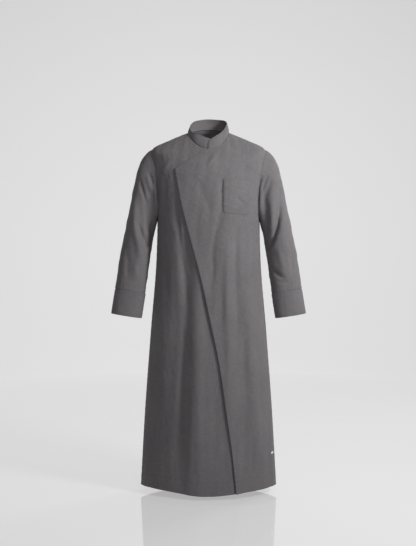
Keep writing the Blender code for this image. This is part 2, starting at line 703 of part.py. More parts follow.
def lying_on_front(name, angles, stations, thickness, finish):
    surface = panel_surface("over")
    normals = normal_of(surface, angles, stations, 0.4, 0.001)
    outer = surface(angles, stations) + normals * (PATCH_GAP + thickness)
    return wall(name, outer, -normals * thickness, finish)


def main():
    clear_scene()
    body_panel("left_front", "over", over_grid(), CHARCOAL, [(1, -1, True)])
    body_panel("right_front", "under", under_grid(), CHARCOAL, [(-1, 0, True)])
    body_panel("back", "back", back_grid(), CHARCOAL, [(1, 0, False), (-1, -1, False)])
    for word, side in (("left", 1), ("right", -1)):
        sleeve(word + "_sleeve", side, CHARCOAL)
        cuff(word + "_cuff", side, CHARCOAL)
    collar(CHARCOAL)
    pocket(CHARCOAL)
    side_tag(WHITE)


main()
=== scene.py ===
"""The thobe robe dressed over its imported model: each piece of cloth is a thin shell on its solid's form.

Metres, +Z up, the front towards -Y and the wearer's left towards +X. Heights in the tables are
above the side hem; the origin is the middle of the neck opening.
"""

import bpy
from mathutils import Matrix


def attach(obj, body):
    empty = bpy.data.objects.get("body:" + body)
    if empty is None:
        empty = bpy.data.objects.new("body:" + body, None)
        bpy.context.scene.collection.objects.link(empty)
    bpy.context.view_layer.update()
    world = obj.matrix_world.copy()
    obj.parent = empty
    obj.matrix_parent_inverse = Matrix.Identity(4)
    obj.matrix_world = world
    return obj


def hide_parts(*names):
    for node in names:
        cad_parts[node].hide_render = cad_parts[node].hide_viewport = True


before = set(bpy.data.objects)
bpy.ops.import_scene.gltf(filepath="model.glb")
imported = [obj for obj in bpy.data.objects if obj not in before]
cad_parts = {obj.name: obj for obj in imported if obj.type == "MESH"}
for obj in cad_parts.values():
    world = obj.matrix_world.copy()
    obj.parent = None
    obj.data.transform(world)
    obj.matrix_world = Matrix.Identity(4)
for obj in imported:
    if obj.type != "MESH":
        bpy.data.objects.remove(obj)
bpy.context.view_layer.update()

import math
from collections import namedtuple

import bpy
import numpy as np
from mathutils import Vector

# Driving sizes
ORIGIN_HEIGHT = 1.370
ORIGIN = np.array([0.0, 0.0, ORIGIN_HEIGHT])
LAP = 0.0036
EDGE_LIFT = 0.0030

# Body rings, one row for each: where it is along the side, its height at the side, front and back,
# its half width and depths, how square it is at the side and across the front and back (1 is an
# ellipse, less is squarer), and how narrow the dip or rise at the middle is
RING_COLUMNS = "station side_z front_z back_z half_width front back side_power depth_power dip_power"
Ring = namedtuple("Ring", RING_COLUMNS)
BODY_RINGS = (
    Ring(0.000, 0.000, -0.012, 0.000, 0.2640, 0.146, 0.172, 1.00, 1.42, 8.0),
    Ring(0.170, 0.170, 0.161, 0.170, 0.2550, 0.146, 0.164, 1.00, 1.32, 7.0),
    Ring(0.330, 0.330, 0.325, 0.330, 0.2450, 0.144, 0.157, 0.98, 1.20, 6.0),
    Ring(0.600, 0.600, 0.599, 0.600, 0.2245, 0.140, 0.146, 0.93, 1.02, 4.0),
    Ring(0.890, 0.890, 0.890, 0.890, 0.2020, 0.135, 0.131, 0.86, 0.88, 2.0),
    Ring(1.040, 1.040, 1.036, 1.038, 0.1985, 0.132, 0.126, 0.85, 0.85, 1.5),
    Ring(1.100, 1.100, 1.088, 1.094, 0.2080, 0.131, 0.125, 0.89, 0.88, 1.5),
    Ring(1.165, 1.165, 1.140, 1.156, 0.2210, 0.128, 0.122, 0.95, 0.93, 1.5),
    Ring(1.235, 1.235, 1.190, 1.224, 0.2265, 0.122, 0.117, 0.98, 0.96, 1.5),
    Ring(1.285, 1.285, 1.224, 1.278, 0.2250, 0.113, 0.108, 0.98, 0.96, 1.5),
    Ring(1.308, 1.3045, 1.243, 1.302, 0.2190, 0.107, 0.100, 0.96, 0.94, 1.5),
    Ring(1.380, 1.339, 1.272, 1.352, 0.1550, 0.092, 0.077, 0.98, 0.96, 1.5),
    Ring(1.460, 1.370, 1.298, 1.392, 0.0810, 0.076, 0.056, 1.00, 1.00, 1.5),
)
HEM = BODY_RINGS[0].station
NECK = BODY_RINGS[-1].station

# Armhole, an oval on the body's side: between these stations, this many degrees forward and back
UNDERARM = 1.040
SHOULDER_TIP = 1.308
ARMHOLE_FRONT = 29.5
ARMHOLE_BACK = 31.0
ARMHOLE_POWER = 0.9
ARMHOLE_MIDDLE = (UNDERARM + SHOULDER_TIP) / 2
ARMHOLE_HALF = (SHOULDER_TIP - UNDERARM) / 2

# Edges of the two fronts, as seen from the front: sideways place at each height
EdgePoint = namedtuple("EdgePoint", "z x")
OVER_EDGE = (
    EdgePoint(0.000, 0.102),
    EdgePoint(0.140, 0.087),
    EdgePoint(0.280, 0.068),
    EdgePoint(0.480, 0.040),
    EdgePoint(0.655, 0.004),
    EdgePoint(0.790, -0.025),
    EdgePoint(0.940, -0.064),
    EdgePoint(1.070, -0.097),
    EdgePoint(1.217, -0.126),
)
UNDER_EDGE = (
    EdgePoint(0.000, 0.195),
    EdgePoint(0.600, 0.130),
    EdgePoint(1.000, 0.085),
    EdgePoint(1.220, 0.046),
)
UNDER_NECK_END = 22.5
LAP_MARGIN = 3.0
LAP_FADE = 20.0
LAP_NECK_START = 1.25
EDGE_ROLL = 0.020
ROLL_FADE = 0.15
EDGE_MATCH = 10.0
NECK_OUTWARD = 0.65
NECK_WAY_START = 1.36

# Soft folds of each piece, each drawn on the front or the back by a curve with three guide points
# (x, z): top, middle and bottom, with its half width, its height out of the cloth (a trough is
# negative), and lean, which makes a trough of one side and a ridge of the other (0 is even)
Fold = namedtuple("Fold", "x0 z0 x1 z1 x2 z2 width depth lean", defaults=(0.0,))
FOLDS = {
    "under": (
        Fold(-0.071, 1.080, -0.088, 0.500, -0.122, -0.060, 0.030, -0.0110),
        Fold(-0.048, 0.760, -0.042, 0.380, -0.036, -0.100, 0.032, 0.0100),
        Fold(-0.096, 1.100, -0.112, 0.880, -0.150, 0.440, 0.024, 0.0060),
        Fold(-0.172, 0.560, -0.196, 0.260, -0.212, -0.060, 0.032, -0.0075),
    ),
    "over": (
        Fold(0.048, 1.080, 0.004, 0.900, 0.012, 0.740, 0.022, -0.0045),
        Fold(0.102, 1.060, 0.104, 0.640, 0.138, 0.180, 0.024, -0.0075),
        Fold(0.160, 0.760, 0.176, 0.380, 0.196, -0.060, 0.026, 0.0060),
        Fold(0.068, 0.940, 0.074, 0.480, 0.092, -0.060, 0.026, 0.0050),
    ),
    "back": (
        Fold(-0.105, 1.120, -0.120, 0.600, -0.165, -0.060, 0.032, -0.0110),
        Fold(-0.050, 0.980, -0.052, 0.560, -0.080, -0.060, 0.034, 0.0100),
        Fold(0.012, 1.080, 0.004, 0.520, 0.000, -0.060, 0.030, -0.0120),
        Fold(0.066, 0.900, 0.080, 0.460, 0.096, -0.060, 0.034, 0.0100),
        Fold(0.112, 1.080, 0.130, 0.640, 0.168, -0.060, 0.032, -0.0110),
    ),
    "left_sleeve": (
        Fold(0.272, 1.170, 0.296, 1.035, 0.216, 0.920, 0.022, -0.0070),
        Fold(0.250, 1.160, 0.236, 1.060, 0.240, 0.980, 0.020, 0.0050),
        Fold(0.285, 1.010, 0.292, 0.900, 0.302, 0.790, 0.026, 0.0040),
    ),
    "right_sleeve": (
        Fold(-0.264, 1.170, -0.278, 1.030, -0.224, 0.920, 0.022, -0.0065),
        Fold(-0.284, 1.160, -0.290, 1.040, -0.286, 0.930, 0.020, 0.0040),
        Fold(-0.250, 0.980, -0.266, 0.890, -0.272, 0.790, 0.024, 0.0045),
    ),
}
FOLD_STEPS = 12
FACING_FADE = 0.5
BACK_FOLD_DROP = 0.020
BACK_FOLD_SHARE = 0.8
ARMHOLE_FADE = 0.55
NECK_FADE = 0.050

# Sleeve rings: where each is along the sleeve, its outer and inner points from the front,
# its half depth from front to back and how far back its middle lies
SleeveRing = namedtuple("SleeveRing", "station outer_x outer_z inner_x inner_z half_depth middle_y")
SLEEVE_RINGS = (
    SleeveRing(0.00, 0.2190, 1.3045, 0.1965, 1.0400, 0.066, 0.000),
    SleeveRing(0.06, 0.2370, 1.2945, 0.2010, 1.0220, 0.067, 0.002),
    SleeveRing(0.14, 0.2560, 1.2720, 0.2060, 1.0000, 0.068, 0.003),
    SleeveRing(0.24, 0.2730, 1.2350, 0.2120, 0.9780, 0.069, 0.003),
    SleeveRing(0.38, 0.2880, 1.1750, 0.2180, 0.9500, 0.068, 0.002),
    SleeveRing(0.53, 0.3050, 1.0850, 0.2240, 0.9080, 0.066, -0.002),
    SleeveRing(0.69, 0.3240, 0.9880, 0.2310, 0.8580, 0.060, -0.009),
    SleeveRing(0.84, 0.3440, 0.8850, 0.2380, 0.8030, 0.053, -0.019),
    SleeveRing(1.00, 0.3605, 0.7620, 0.2450, 0.7450, 0.046, -0.032),
)
CUFF_RINGS = (
    SleeveRing(0.00, 0.3617, 0.7616, 0.2438, 0.7446, 0.0472, -0.032),
    SleeveRing(1.00, 0.3755, 0.6690, 0.2575, 0.6500, 0.0450, -0.037),
)
SLEEVE_POWER = 0.88
SLEEVE_BLEND = 0.35

# Collar band: its top edge's height at each angle from the front, and the shape of its front ends
CollarEdge = namedtuple("CollarEdge", "angle z")
COLLAR_TOP_EDGE = (
    CollarEdge(0.0, 1.3320),
    CollarEdge(23.0, 1.3490),
    CollarEdge(54.0, 1.3745),
    CollarEdge(72.0, 1.3960),
    CollarEdge(100.0, 1.4140),
    CollarEdge(135.0, 1.4260),
    CollarEdge(180.0, 1.4320),
    CollarEdge(225.0, 1.4230),
    CollarEdge(250.0, 1.4070),
    CollarEdge(282.0, 1.3800),
    CollarEdge(320.0, 1.3580),
    CollarEdge(353.0, 1.3425),
    CollarEdge(382.5, 1.3295),
)
COLLAR_TOP_HALF_WIDTH = 0.0728
COLLAR_TOP_FRONT = 0.0665
COLLAR_TOP_BACK = 0.0545
COLLAR_UNDER_END = COLLAR_TOP_EDGE[-1].angle
COLLAR_UNDER_TUCK = 0.0024
COLLAR_TUCK_DEGREES = (310.0, 355.0)
COLLAR_CORNER_DEGREES = 15.0
COLLAR_CORNER_DROP = 0.10
COLLAR_BOW = 0.0015
COLLAR_LINE = 0.0045

# Breast pocket on the wearer's left, seen from the front
POCKET_INNER_X = 0.055
POCKET_OUTER_X = 0.156
POCKET_TOP_Z = 1.176
POCKET_DEPTH = 0.129
POCKET_TILT = -0.05
POCKET_CORNER = 0.012
POCKET_HEM = 0.030
POCKET_LINE = 0.0030
POCKET_ROWS = (0.0010, 0.0020, 0.0285, 0.0300, 0.0315)

# Plain tag at the left side seam
TAG_Z = 0.128
TAG_WIDTH_DEGREES = (69.5, 76.0)
TAG_HEIGHT = 0.006

# Fine creases, drawn like the folds
CREASES = {
    "under": (
        Fold(-0.167, 1.197, -0.170, 1.130, -0.166, 1.050, 0.011, -0.0030, 0.4),
        Fold(-0.178, 1.205, -0.158, 1.225, -0.142, 1.250, 0.010, 0.0026, 0.5),
        Fold(-0.120, 1.085, -0.126, 1.040, -0.122, 0.985, 0.012, -0.0030, 0.5),
        Fold(-0.097, 1.060, -0.098, 0.960, -0.100, 0.870, 0.010, 0.0026, -0.4),
        Fold(-0.205, 0.450, -0.212, 0.260, -0.224, 0.040, 0.014, -0.0034, 0.5),
        Fold(-0.104, 0.520, -0.112, 0.300, -0.128, 0.060, 0.011, -0.0026, -0.5),
        Fold(-0.062, 0.420, -0.066, 0.240, -0.072, 0.020, 0.012, 0.0022, 0.5),
        Fold(-0.170, 0.900, -0.164, 0.820, -0.160, 0.720, 0.012, -0.0022, 0.5),
        Fold(-0.124, 1.120, -0.110, 0.960, -0.088, 0.700, 0.014, -0.0065, 0.4),
        Fold(-0.114, 0.980, -0.140, 0.560, -0.158, -0.100, 0.026, -0.0085),
        Fold(-0.098, 0.620, -0.106, 0.380, -0.118, 0.020, 0.010, -0.0034, 0.5),
    ),
    "over": (
        Fold(0.045, 1.183, 0.046, 1.120, 0.048, 1.048, 0.009, -0.0022, 0.5),
        Fold(0.043, 1.033, 0.014, 0.960, 0.008, 0.853, 0.009, -0.0026, 0.6),
        Fold(0.017, 0.880, 0.018, 0.840, 0.014, 0.795, 0.007, -0.0020, 0.6),
        Fold(0.105, 1.010, 0.100, 0.800, 0.106, 0.610, 0.011, -0.0028, 0.5),
        Fold(0.054, 0.765, 0.052, 0.690, 0.058, 0.610, 0.011, -0.0022, -0.5),
        Fold(0.131, 0.640, 0.134, 0.480, 0.144, 0.300, 0.012, -0.0026, 0.5),
        Fold(0.161, 0.212, 0.162, 0.140, 0.160, 0.070, 0.009, -0.0022, 0.5),
        Fold(0.028, 1.270, 0.008, 1.250, -0.010, 1.224, 0.009, 0.0024, 0.6),
        Fold(0.069, 0.950, 0.068, 0.640, 0.080, 0.300, 0.014, 0.0022, -0.4),
        Fold(0.170, 1.010, 0.160, 0.900, 0.164, 0.760, 0.013, -0.0024, 0.5),
        Fold(0.180, 0.560, 0.190, 0.380, 0.206, 0.120, 0.014, -0.0024, 0.4),
        Fold(0.178, 1.215, 0.160, 1.232, 0.142, 1.252, 0.011, 0.0024, 0.5),
        Fold(-0.050, 1.180, -0.020, 1.120, 0.006, 1.040, 0.014, -0.0018, 0.5),
        Fold(0.100, 0.260, 0.106, 0.150, 0.114, 0.030, 0.012, 0.0020, 0.5),
        Fold(0.100, 1.111, 0.116, 1.097, 0.132, 1.084, 0.008, -0.0022, 0.6),
    ),
    "back": (
        Fold(-0.160, 1.215, -0.120, 1.190, -0.060, 1.180, 0.014, -0.0022, 0.5),
        Fold(0.150, 1.205, 0.112, 1.180, 0.050, 1.176, 0.014, -0.0020, -0.5),
        Fold(-0.172, 1.060, -0.140, 0.980, -0.126, 0.860, 0.014, -0.0030, 0.5),
        Fold(0.170, 1.066, 0.144, 0.990, 0.130, 0.880, 0.014, -0.0028, -0.5),
        Fold(-0.070, 1.090, -0.058, 0.960, -0.062, 0.800, 0.012, -0.0026, 0.5),
        Fold(0.058, 1.060, 0.050, 0.930, 0.056, 0.780, 0.012, -0.0024, -0.5),
        Fold(-0.150, 0.640, -0.172, 0.380, -0.204, 0.060, 0.014, -0.0032, 0.5),
        Fold(0.158, 0.600, 0.176, 0.360, 0.206, 0.080, 0.014, -0.0030, -0.5),
        Fold(-0.028, 0.560, -0.036, 0.300, -0.046, 0.020, 0.012, 0.0022, 0.5),
        Fold(0.038, 0.520, 0.044, 0.280, 0.052, 0.020, 0.012, -0.0024, 0.5),
        Fold(0.110, 0.460, 0.124, 0.260, 0.136, 0.030, 0.012, 0.0022, -0.5),
    ),
    "left_sleeve": (
        Fold(0.226, 1.200, 0.212, 1.165, 0.193, 1.125, 0.007, -0.0060, 0.6),
        Fold(0.240, 1.190, 0.226, 1.140, 0.206, 1.090, 0.009, -0.0034, 0.5),
        Fold(0.272, 1.155, 0.299, 1.059, 0.218, 0.905, 0.010, -0.0085, 0.5),
        Fold(0.266, 1.040, 0.252, 0.965, 0.218, 0.915, 0.012, -0.0070, 0.5),
        Fold(0.242, 1.110, 0.250, 1.050, 0.236, 0.985, 0.015, 0.0050, 0.2),
        Fold(0.238, 0.848, 0.256, 0.812, 0.292, 0.800, 0.008, -0.0052, 0.5),
        Fold(0.262, 0.930, 0.282, 0.880, 0.290, 0.810, 0.011, 0.0036, -0.4),
        Fold(0.330, 0.940, 0.318, 0.870, 0.324, 0.790, 0.011, -0.0030, -0.4),
        Fold(0.304, 1.090, 0.306, 1.000, 0.320, 0.920, 0.013, 0.0030, 0.4),
        Fold(0.262, 0.792, 0.290, 0.780, 0.318, 0.786, 0.007, -0.0022, 0.5),
        Fold(0.206, 1.160, 0.228, 1.040, 0.224, 0.920, 0.014, -0.0070),
    ),
    "right_sleeve": (
        Fold(-0.224, 1.180, -0.224, 1.060, -0.208, 0.930, 0.020, -0.0120),
        Fold(-0.268, 1.190, -0.257, 1.135, -0.238, 1.085, 0.008, -0.0060, 0.5),
        Fold(-0.230, 1.208, -0.216, 1.170, -0.197, 1.140, 0.008, -0.0064, 0.5),
        Fold(-0.234, 1.196, -0.230, 1.160, -0.216, 1.130, 0.008, 0.0040),
        Fold(-0.281, 1.120, -0.280, 0.990, -0.255, 0.850, 0.012, 0.0056, -0.4),
        Fold(-0.274, 1.025, -0.252, 0.962, -0.220, 0.915, 0.011, -0.0085, -0.5),
        Fold(-0.246, 1.110, -0.240, 1.050, -0.222, 0.980, 0.013, -0.0050, 0.3),
        Fold(-0.318, 0.930, -0.308, 0.860, -0.314, 0.790, 0.011, -0.0030, 0.4),
        Fold(-0.276, 0.880, -0.286, 0.830, -0.276, 0.790, 0.012, 0.0034, 0.3),
        Fold(-0.262, 0.800, -0.296, 0.786, -0.330, 0.796, 0.008, -0.0024, -0.5),
    ),
}

# Visible cloth: shell thickness, hem turn-up, and how the seams and folded edges look
SHELL = 0.0012
CUFF_SHELL = 1.5 * SHELL
COLLAR_SHELL = 0.0018
COLLAR_TUCK = 0.0024
POCKET_SHELL = 0.0008
TAG_SHELL = 0.0006
NO_ROUNDING = (0.0, 0.0, 0.0, 0.0)
ALL_ROUND = (0.5, 0.5, 0.5, 0.5)
HEM_TURN = 0.047
EDGE_TURN = 0.011
SEAM_WIDTH = 0.0022
SEAM_DIP = 0.0010
SEAM_SWELL = 0.0004
STITCH_DIP = 0.00035
STITCH_DIP_WIDTH = 0.0016
LINE_DIP_WIDTH = 0.0012
WOBBLE = 0.0006
FINE_WOBBLE = 0.35 * WOBBLE
PUCKER = 0.00035
HOLE_BLEND = 0.004
HEAD_HEIGHTS = (1.24, 1.29)
VALLEY = 0.0066
VALLEY_WIDTH = 0.010
VALLEY_HEIGHTS = (1.22, 1.15, 1.055, 1.11)
FLAP_STAND = 0.0009
FLAP_STAND_WIDTH = 0.020

# Soft waves in the cloth: the shortest and longest, how far they lean, in radians, and how many
# times longer they are the other way
Wave = namedtuple("Wave", "least most spread tall")
WAVE_COUNT = 9
SEAM_PUCKERS = Wave(0.016, 0.034, 0.2, 1.0)
HEM_PUCKERS = Wave(0.014, 0.030, 0.2, 1.0)
PANEL_WAVES = Wave(0.035, 0.10, 0.5, 3.0)
FINE_PANEL_WAVES = Wave(0.014, 0.030, 1.2, 1.6)
SLEEVE_WAVES = Wave(0.040, 0.11, 1.0, 1.6)
FINE_SLEEVE_WAVES = Wave(0.014, 0.032, 1.4, 1.5)
SLEEVE_GATHERS = Wave(0.014, 0.032, 0.15, 2.0)
CUFF_WAVES = Wave(0.030, 0.09, 0.6, 1.5)
CUFF_PUCKERS = Wave(0.012, 0.026, 0.2, 1.0)
COLLAR_WAVES = Wave(0.030, 0.08, 0.5, 1.5)
POCKET_WAVES = Wave(0.016, 0.040, 1.5, 1.0)

# Stitch lines of a cuff: name, edge and distance from it
CUFF_LINES = (("upper", "bottom", 0.0022), ("lower", "bottom", 0.0085), ("mouth", "top", 0.006))

# Sewing thread. Along a stitch, its shape says how thick it is and how high it stands, in radii.
STITCH_LENGTH = 0.0024
STITCH_SPACE = 0.0008
THREAD_RADIUS = 0.00022
STITCH_SIDES = 5
STITCH_SHAPE = ((0.0, 0.35, -0.4), (0.15, 0.95, 0.4), (0.5, 1.0, 0.8), (0.85, 0.95, 0.4), (1.0, 0.35, -0.4))

# Room: a round floor and wall, whose painted glow changes between these depths from front to back
FLOOR_Z = -1.398
FLOOR_RADIUS = 3.9
ROOM_RADIUS = 5.0
ROOM_HEIGHT = 6.0
GLOW_DEPTHS = (-1.5, 3.5)


def smoothstep(value):
    share = np.clip(value, 0.0, 1.0)
    return share * share * (3.0 - 2.0 * share)


def monotone(xs, ys, x):
    """A smooth curve through a table that never overshoots its points."""
    xs = np.asarray(xs, float)
    ys = np.asarray(ys, float)
    x = np.clip(np.asarray(x, float), xs[0], xs[-1])
    run = np.diff(xs)
    slope = np.diff(ys) / run
    before, after = slope[:-1], slope[1:]
    same_way = before * after > 0
    total = np.where(same_way, before + after, 1.0)
    tangent = np.zeros_like(ys)
    tangent[1:-1] = np.where(same_way, 2.0 * before * after / total, 0.0)
    tangent[0] = slope[0]
    tangent[-1] = slope[-1]
    k = np.clip(np.searchsorted(xs, x, side="right") - 1, 0, len(run) - 1)
    t = (x - xs[k]) / run[k]
    start = (1 + 2 * t) * (1 - t) ** 2 * ys[k] + t * (1 - t) ** 2 * run[k] * tangent[k]
    end = t * t * (3 - 2 * t) * ys[k + 1] + t * t * (t - 1) * run[k] * tangent[k + 1]
    return start + end


def column(table, name, at, key="station"):
    return monotone([getattr(row, key) for row in table], [getattr(row, name) for row in table], at)


def columns(table, names, at):
    return [column(table, name, at) for name in names.split()]


def unit(vectors):
    return vectors / np.maximum(np.linalg.norm(vectors, axis=-1, keepdims=True), 1e-12)


def body(angle, station):
    """A point of the smooth body: angle in degrees from the front, positive to the wearer's left."""
    radians = np.radians(angle)
    sine, cosine = np.sin(radians), np.cos(radians)
    width, front, back = columns(BODY_RINGS, "half_width front back", station)
    side_z, front_z, back_z = columns(BODY_RINGS, "side_z front_z back_z", station)
    side_power, depth_power, dip_power = columns(BODY_RINGS, "side_power depth_power dip_power", station)
    x = width * np.sign(sine) * np.abs(sine) ** side_power
    y = np.where(cosine >= 0, -front, back) * np.abs(cosine) ** depth_power
    end_z = np.where(cosine >= 0, front_z, back_z)
    z = side_z + (end_z - side_z) * np.abs(cosine) ** dip_power
    return np.stack([x, y, z], axis=-1)


def normal_of(surface, u, v, step_u, step_v):
    """The outward normal of surface(u, v), by central differences."""
    along_u = surface(u + step_u, v) - surface(u - step_u, v)
    along_v = surface(u, v + step_v) - surface(u, v - step_v)
    return unit(np.cross(along_u, along_v))


def body_normal(angle, station):
    station = np.clip(station, HEM + 0.002, NECK - 0.002)
    return normal_of(body, angle, station, 0.4, 0.001)


def front_place(x, z):
    """The angle and station where the front of the body lies at x and z."""
    low = np.full(np.shape(x), HEM)
    high = np.full(np.shape(x), NECK)
    for _ in range(40):
        middle = (low + high) / 2
        above = body(front_angle(x, middle), middle)[..., 2] > z
        high = np.where(above, middle, high)
        low = np.where(above, low, middle)
    return front_angle(x, low), low


def front_angle(x, station):
    share = np.clip(np.abs(x) / column(BODY_RINGS, "half_width", station), 0.0, 0.9999)
    power = column(BODY_RINGS, "side_power", station)
    return np.sign(x) * np.degrees(np.arcsin(share ** (1.0 / power)))


def edge_x(table, z):
    return column(table, "x", z, key="z")


def fold_height(piece, points, facing, rows=FOLDS):
    """How far the folds of a piece move each of its points out of the cloth."""
    total = np.zeros(points.shape[:-1])
    t = np.linspace(0.0, 1.0, FOLD_STEPS + 1)
    flat = points[..., ::2]
    for fold in rows[piece]:
        guide = np.array([(fold.x0, fold.z0), (fold.x1, fold.z1), (fold.x2, fold.z2)])
        weights = np.stack([(1 - t) ** 2, 2 * t * (1 - t), t * t], axis=-1)
        curve = weights @ guide
        reach = 3.2 * fold.width
        near = np.all((flat > curve.min(0) - reach) & (flat < curve.max(0) + reach), axis=-1)
        if not near.any():
            continue
        start, step = curve[:-1], np.diff(curve, axis=0)
        offset = flat[near][:, None] - start
        share = np.clip(np.sum(offset * step, axis=-1) / np.sum(step * step, axis=-1), 0.0, 1.0)
        apart = offset - share[..., None] * step
        away = np.linalg.norm(apart, axis=-1)
        nearest = np.argmin(away, axis=-1)[:, None]
        along = (nearest + np.take_along_axis(share, nearest, axis=-1))[:, 0] / FOLD_STEPS
        distance = np.take_along_axis(away, nearest, axis=-1)[:, 0]
        strength = np.sin(math.pi * np.clip(along, 0.0, 1.0)) ** 0.6
        turn = step[..., 0] * apart[..., 1] - step[..., 1] * apart[..., 0]
        way = np.sign(np.take_along_axis(turn, nearest, axis=-1)[:, 0])
        far = distance / fold.width
        total[near] += fold.depth * strength * np.exp(-(far ** 2)) * (1.0 + fold.lean * way * far)
    return total * smoothstep(facing / FACING_FADE)


def seam_fade(angle, station):
    """0 on the armhole and neck seams, and 1 away from them."""
    side = np.where(np.cos(np.radians(angle)) >= 0, ARMHOLE_FRONT, ARMHOLE_BACK)
    off_side = 90.0 - np.abs(((angle + 180.0) % 360.0) - 180.0)
    oval = np.hypot(off_side / side, (station - ARMHOLE_MIDDLE) / ARMHOLE_HALF)
    return smoothstep((oval - 1.0) / ARMHOLE_FADE) * smoothstep((NECK - station) / NECK_FADE)


def lift_way(angle, station):
    """The way the upper front stands out: square to the cloth, and more sideways near the neck."""
    radians = np.radians(angle)
    level = np.stack([np.sin(radians), -np.cos(radians), np.zeros_like(radians)], axis=-1)
    share = (NECK_OUTWARD * smoothstep((station - NECK_WAY_START) / (NECK - NECK_WAY_START)))[..., None]
    return unit(body_normal(angle, station) * (1.0 - share) + level * share)


def neck_share(station):
    """0 up to the chest and 1 at the neck, where the lower front's hidden edge has swung forward."""
    return smoothstep((station - LAP_NECK_START) / (NECK - LAP_NECK_START))


def lap_lift(angle, station):
    """How far the upper front stands out over the lower one."""
    z = body(angle, station)[..., 2]
    hidden = front_angle(edge_x(UNDER_EDGE, z), station)
    hidden = hidden + (UNDER_NECK_END - hidden) * neck_share(station)
    covered = 1.0 - smoothstep((angle - hidden - LAP_MARGIN) / LAP_FADE)
    edge = front_angle(edge_x(OVER_EDGE, z), station)
    from_edge = np.radians(angle - edge) * column(BODY_RINGS, "half_width", station)
    roll = np.exp(-((from_edge / EDGE_ROLL) ** 2)) * smoothstep((OVER_EDGE[-1].z - z) / ROLL_FADE)
    return LAP * covered + EDGE_LIFT * roll * covered


def folds_of(piece, angle, station, rows=FOLDS):
    """The folds of a panel, flat at its seams."""
    base = body(angle, station)
    normal = body_normal(angle, station)
    facing = normal[..., 1] if piece == "back" else -normal[..., 1]
    return fold_height(piece, base, facing, rows) * seam_fade(angle, station)


def panel_surface(piece, fine=False):
    """The outer surface of the upper front, lower front or back."""
    tables = (FOLDS, CREASES) if fine else (FOLDS,)

    def surface(angle, station):
        base = body(angle, station)
        out = sum(folds_of(piece, angle, station, rows) for rows in tables)
        lift = np.zeros_like(out)
        if piece == "over":
            lift = lap_lift(angle, station)
        if piece == "under":
            edge = front_angle(edge_x(OVER_EDGE, base[..., 2]), station)
            share = smoothstep((angle - edge + EDGE_MATCH) / EDGE_MATCH)
            out = out * (1.0 - share) + folds_of("over", angle, station) * share
        normal = body_normal(angle, station)
        return base + normal * out[..., None] + lift_way(angle, station) * lift[..., None]

    return surface


def armhole(turn, side, spread=1.0):
    """The angle and station on the body of the armhole at turn: 0 at the shoulder, 180 at the underarm."""
    radians = np.radians(turn)
    sine = np.sin(radians)
    swing = np.where(sine >= 0, ARMHOLE_FRONT, ARMHOLE_BACK) * np.sign(sine) * np.abs(sine) ** ARMHOLE_POWER
    station = ARMHOLE_MIDDLE + ARMHOLE_HALF * np.cos(radians) * spread
    return side * (90.0 - swing * spread), station


def tube(rings, turn, station, side):
    """A point of a sleeve or cuff: turn is 0 on the outer side, 90 at the front."""
    outer = np.stack(columns(rings, "outer_x outer_z", station), axis=-1)
    inner = np.stack(columns(rings, "inner_x inner_z", station), axis=-1)
    half_depth, middle_y = columns(rings, "half_depth middle_y", station)
    radians = np.radians(turn)
    cosine, sine = np.cos(radians), np.sin(radians)
    across = np.sign(cosine) * np.abs(cosine) ** SLEEVE_POWER
    ahead = np.sign(sine) * np.abs(sine) ** SLEEVE_POWER
    flat = (outer + inner) / 2 + (outer - inner) / 2 * across[..., None]
    return np.stack([side * flat[..., 0], middle_y - half_depth * ahead, flat[..., 1]], axis=-1)


def collar_surface(angle, share):
    """The collar band: share is 0 on the neck seam and 1 at the top edge."""
    seam = np.full(np.shape(angle), NECK)
    lift = np.where(angle < 90.0, lap_lift(angle, seam), 0.0)
    radians = np.radians(angle)
    sine, cosine = np.sin(radians), np.cos(radians)
    depth = np.where(cosine >= 0, -COLLAR_TOP_FRONT, COLLAR_TOP_BACK)
    top_z = column(COLLAR_TOP_EDGE, "z", angle, "angle")
    top = np.stack([COLLAR_TOP_HALF_WIDTH * sine, depth * np.abs(cosine), top_z], axis=-1)
    outward = unit(np.stack([sine, -cosine, np.zeros_like(sine)], axis=-1))
    corner = COLLAR_CORNER_DROP * np.clip(1.0 - angle / COLLAR_CORNER_DEGREES, 0.0, 1.0) ** 2
    reach = (share * (1.0 - corner))[..., None]
    bow = COLLAR_BOW * np.sin(math.pi * share)
    base = body(angle, seam) + lift_way(angle, seam) * lift[..., None]
    tuck_from, tuck_to = COLLAR_TUCK_DEGREES
    tuck = COLLAR_UNDER_TUCK * smoothstep((angle - tuck_from) / (tuck_to - tuck_from))
    top = top + outward * (lift - tuck)[..., None]
    return base * (1 - reach) + top * reach + outward * bow[..., None]


def pairs(angles, stations):
    angles, stations = np.broadcast_arrays(np.asarray(angles, float), np.asarray(stations, float))
    return np.stack([angles, stations], axis=-1)


def sleeve_surface(side):
    """The outer surface of a sleeve with all its folds, which starts exactly on the armhole."""
    piece = "left_sleeve" if side > 0 else "right_sleeve"

    def plain(turn, station):
        rooted = body(*armhole(turn, side))
        start = tube(SLEEVE_RINGS, turn, np.zeros_like(station), side)
        fade = 1.0 - smoothstep(station / SLEEVE_BLEND)
        return tube(SLEEVE_RINGS, turn, station, side) + (rooted - start) * fade[..., None]

    def surface(turn, station):
        base = plain(turn, station)
        inside = np.clip(station, 0.01, 0.99)
        normal = side * normal_of(plain, turn, inside, 1.0, 0.005)
        ends = smoothstep(station / 0.12) * smoothstep((1.0 - station) / 0.12)
        lowered = base + np.array([0.0, 0.0, BACK_FOLD_DROP])
        out = np.zeros_like(station)
        for rows in (FOLDS, CREASES):
            out = out + fold_height(piece, base, -normal[..., 1], rows)
            out = out + fold_height(piece, lowered, normal[..., 1], rows) * BACK_FOLD_SHARE
        return base + normal * (out * ends)[..., None]

    return surface


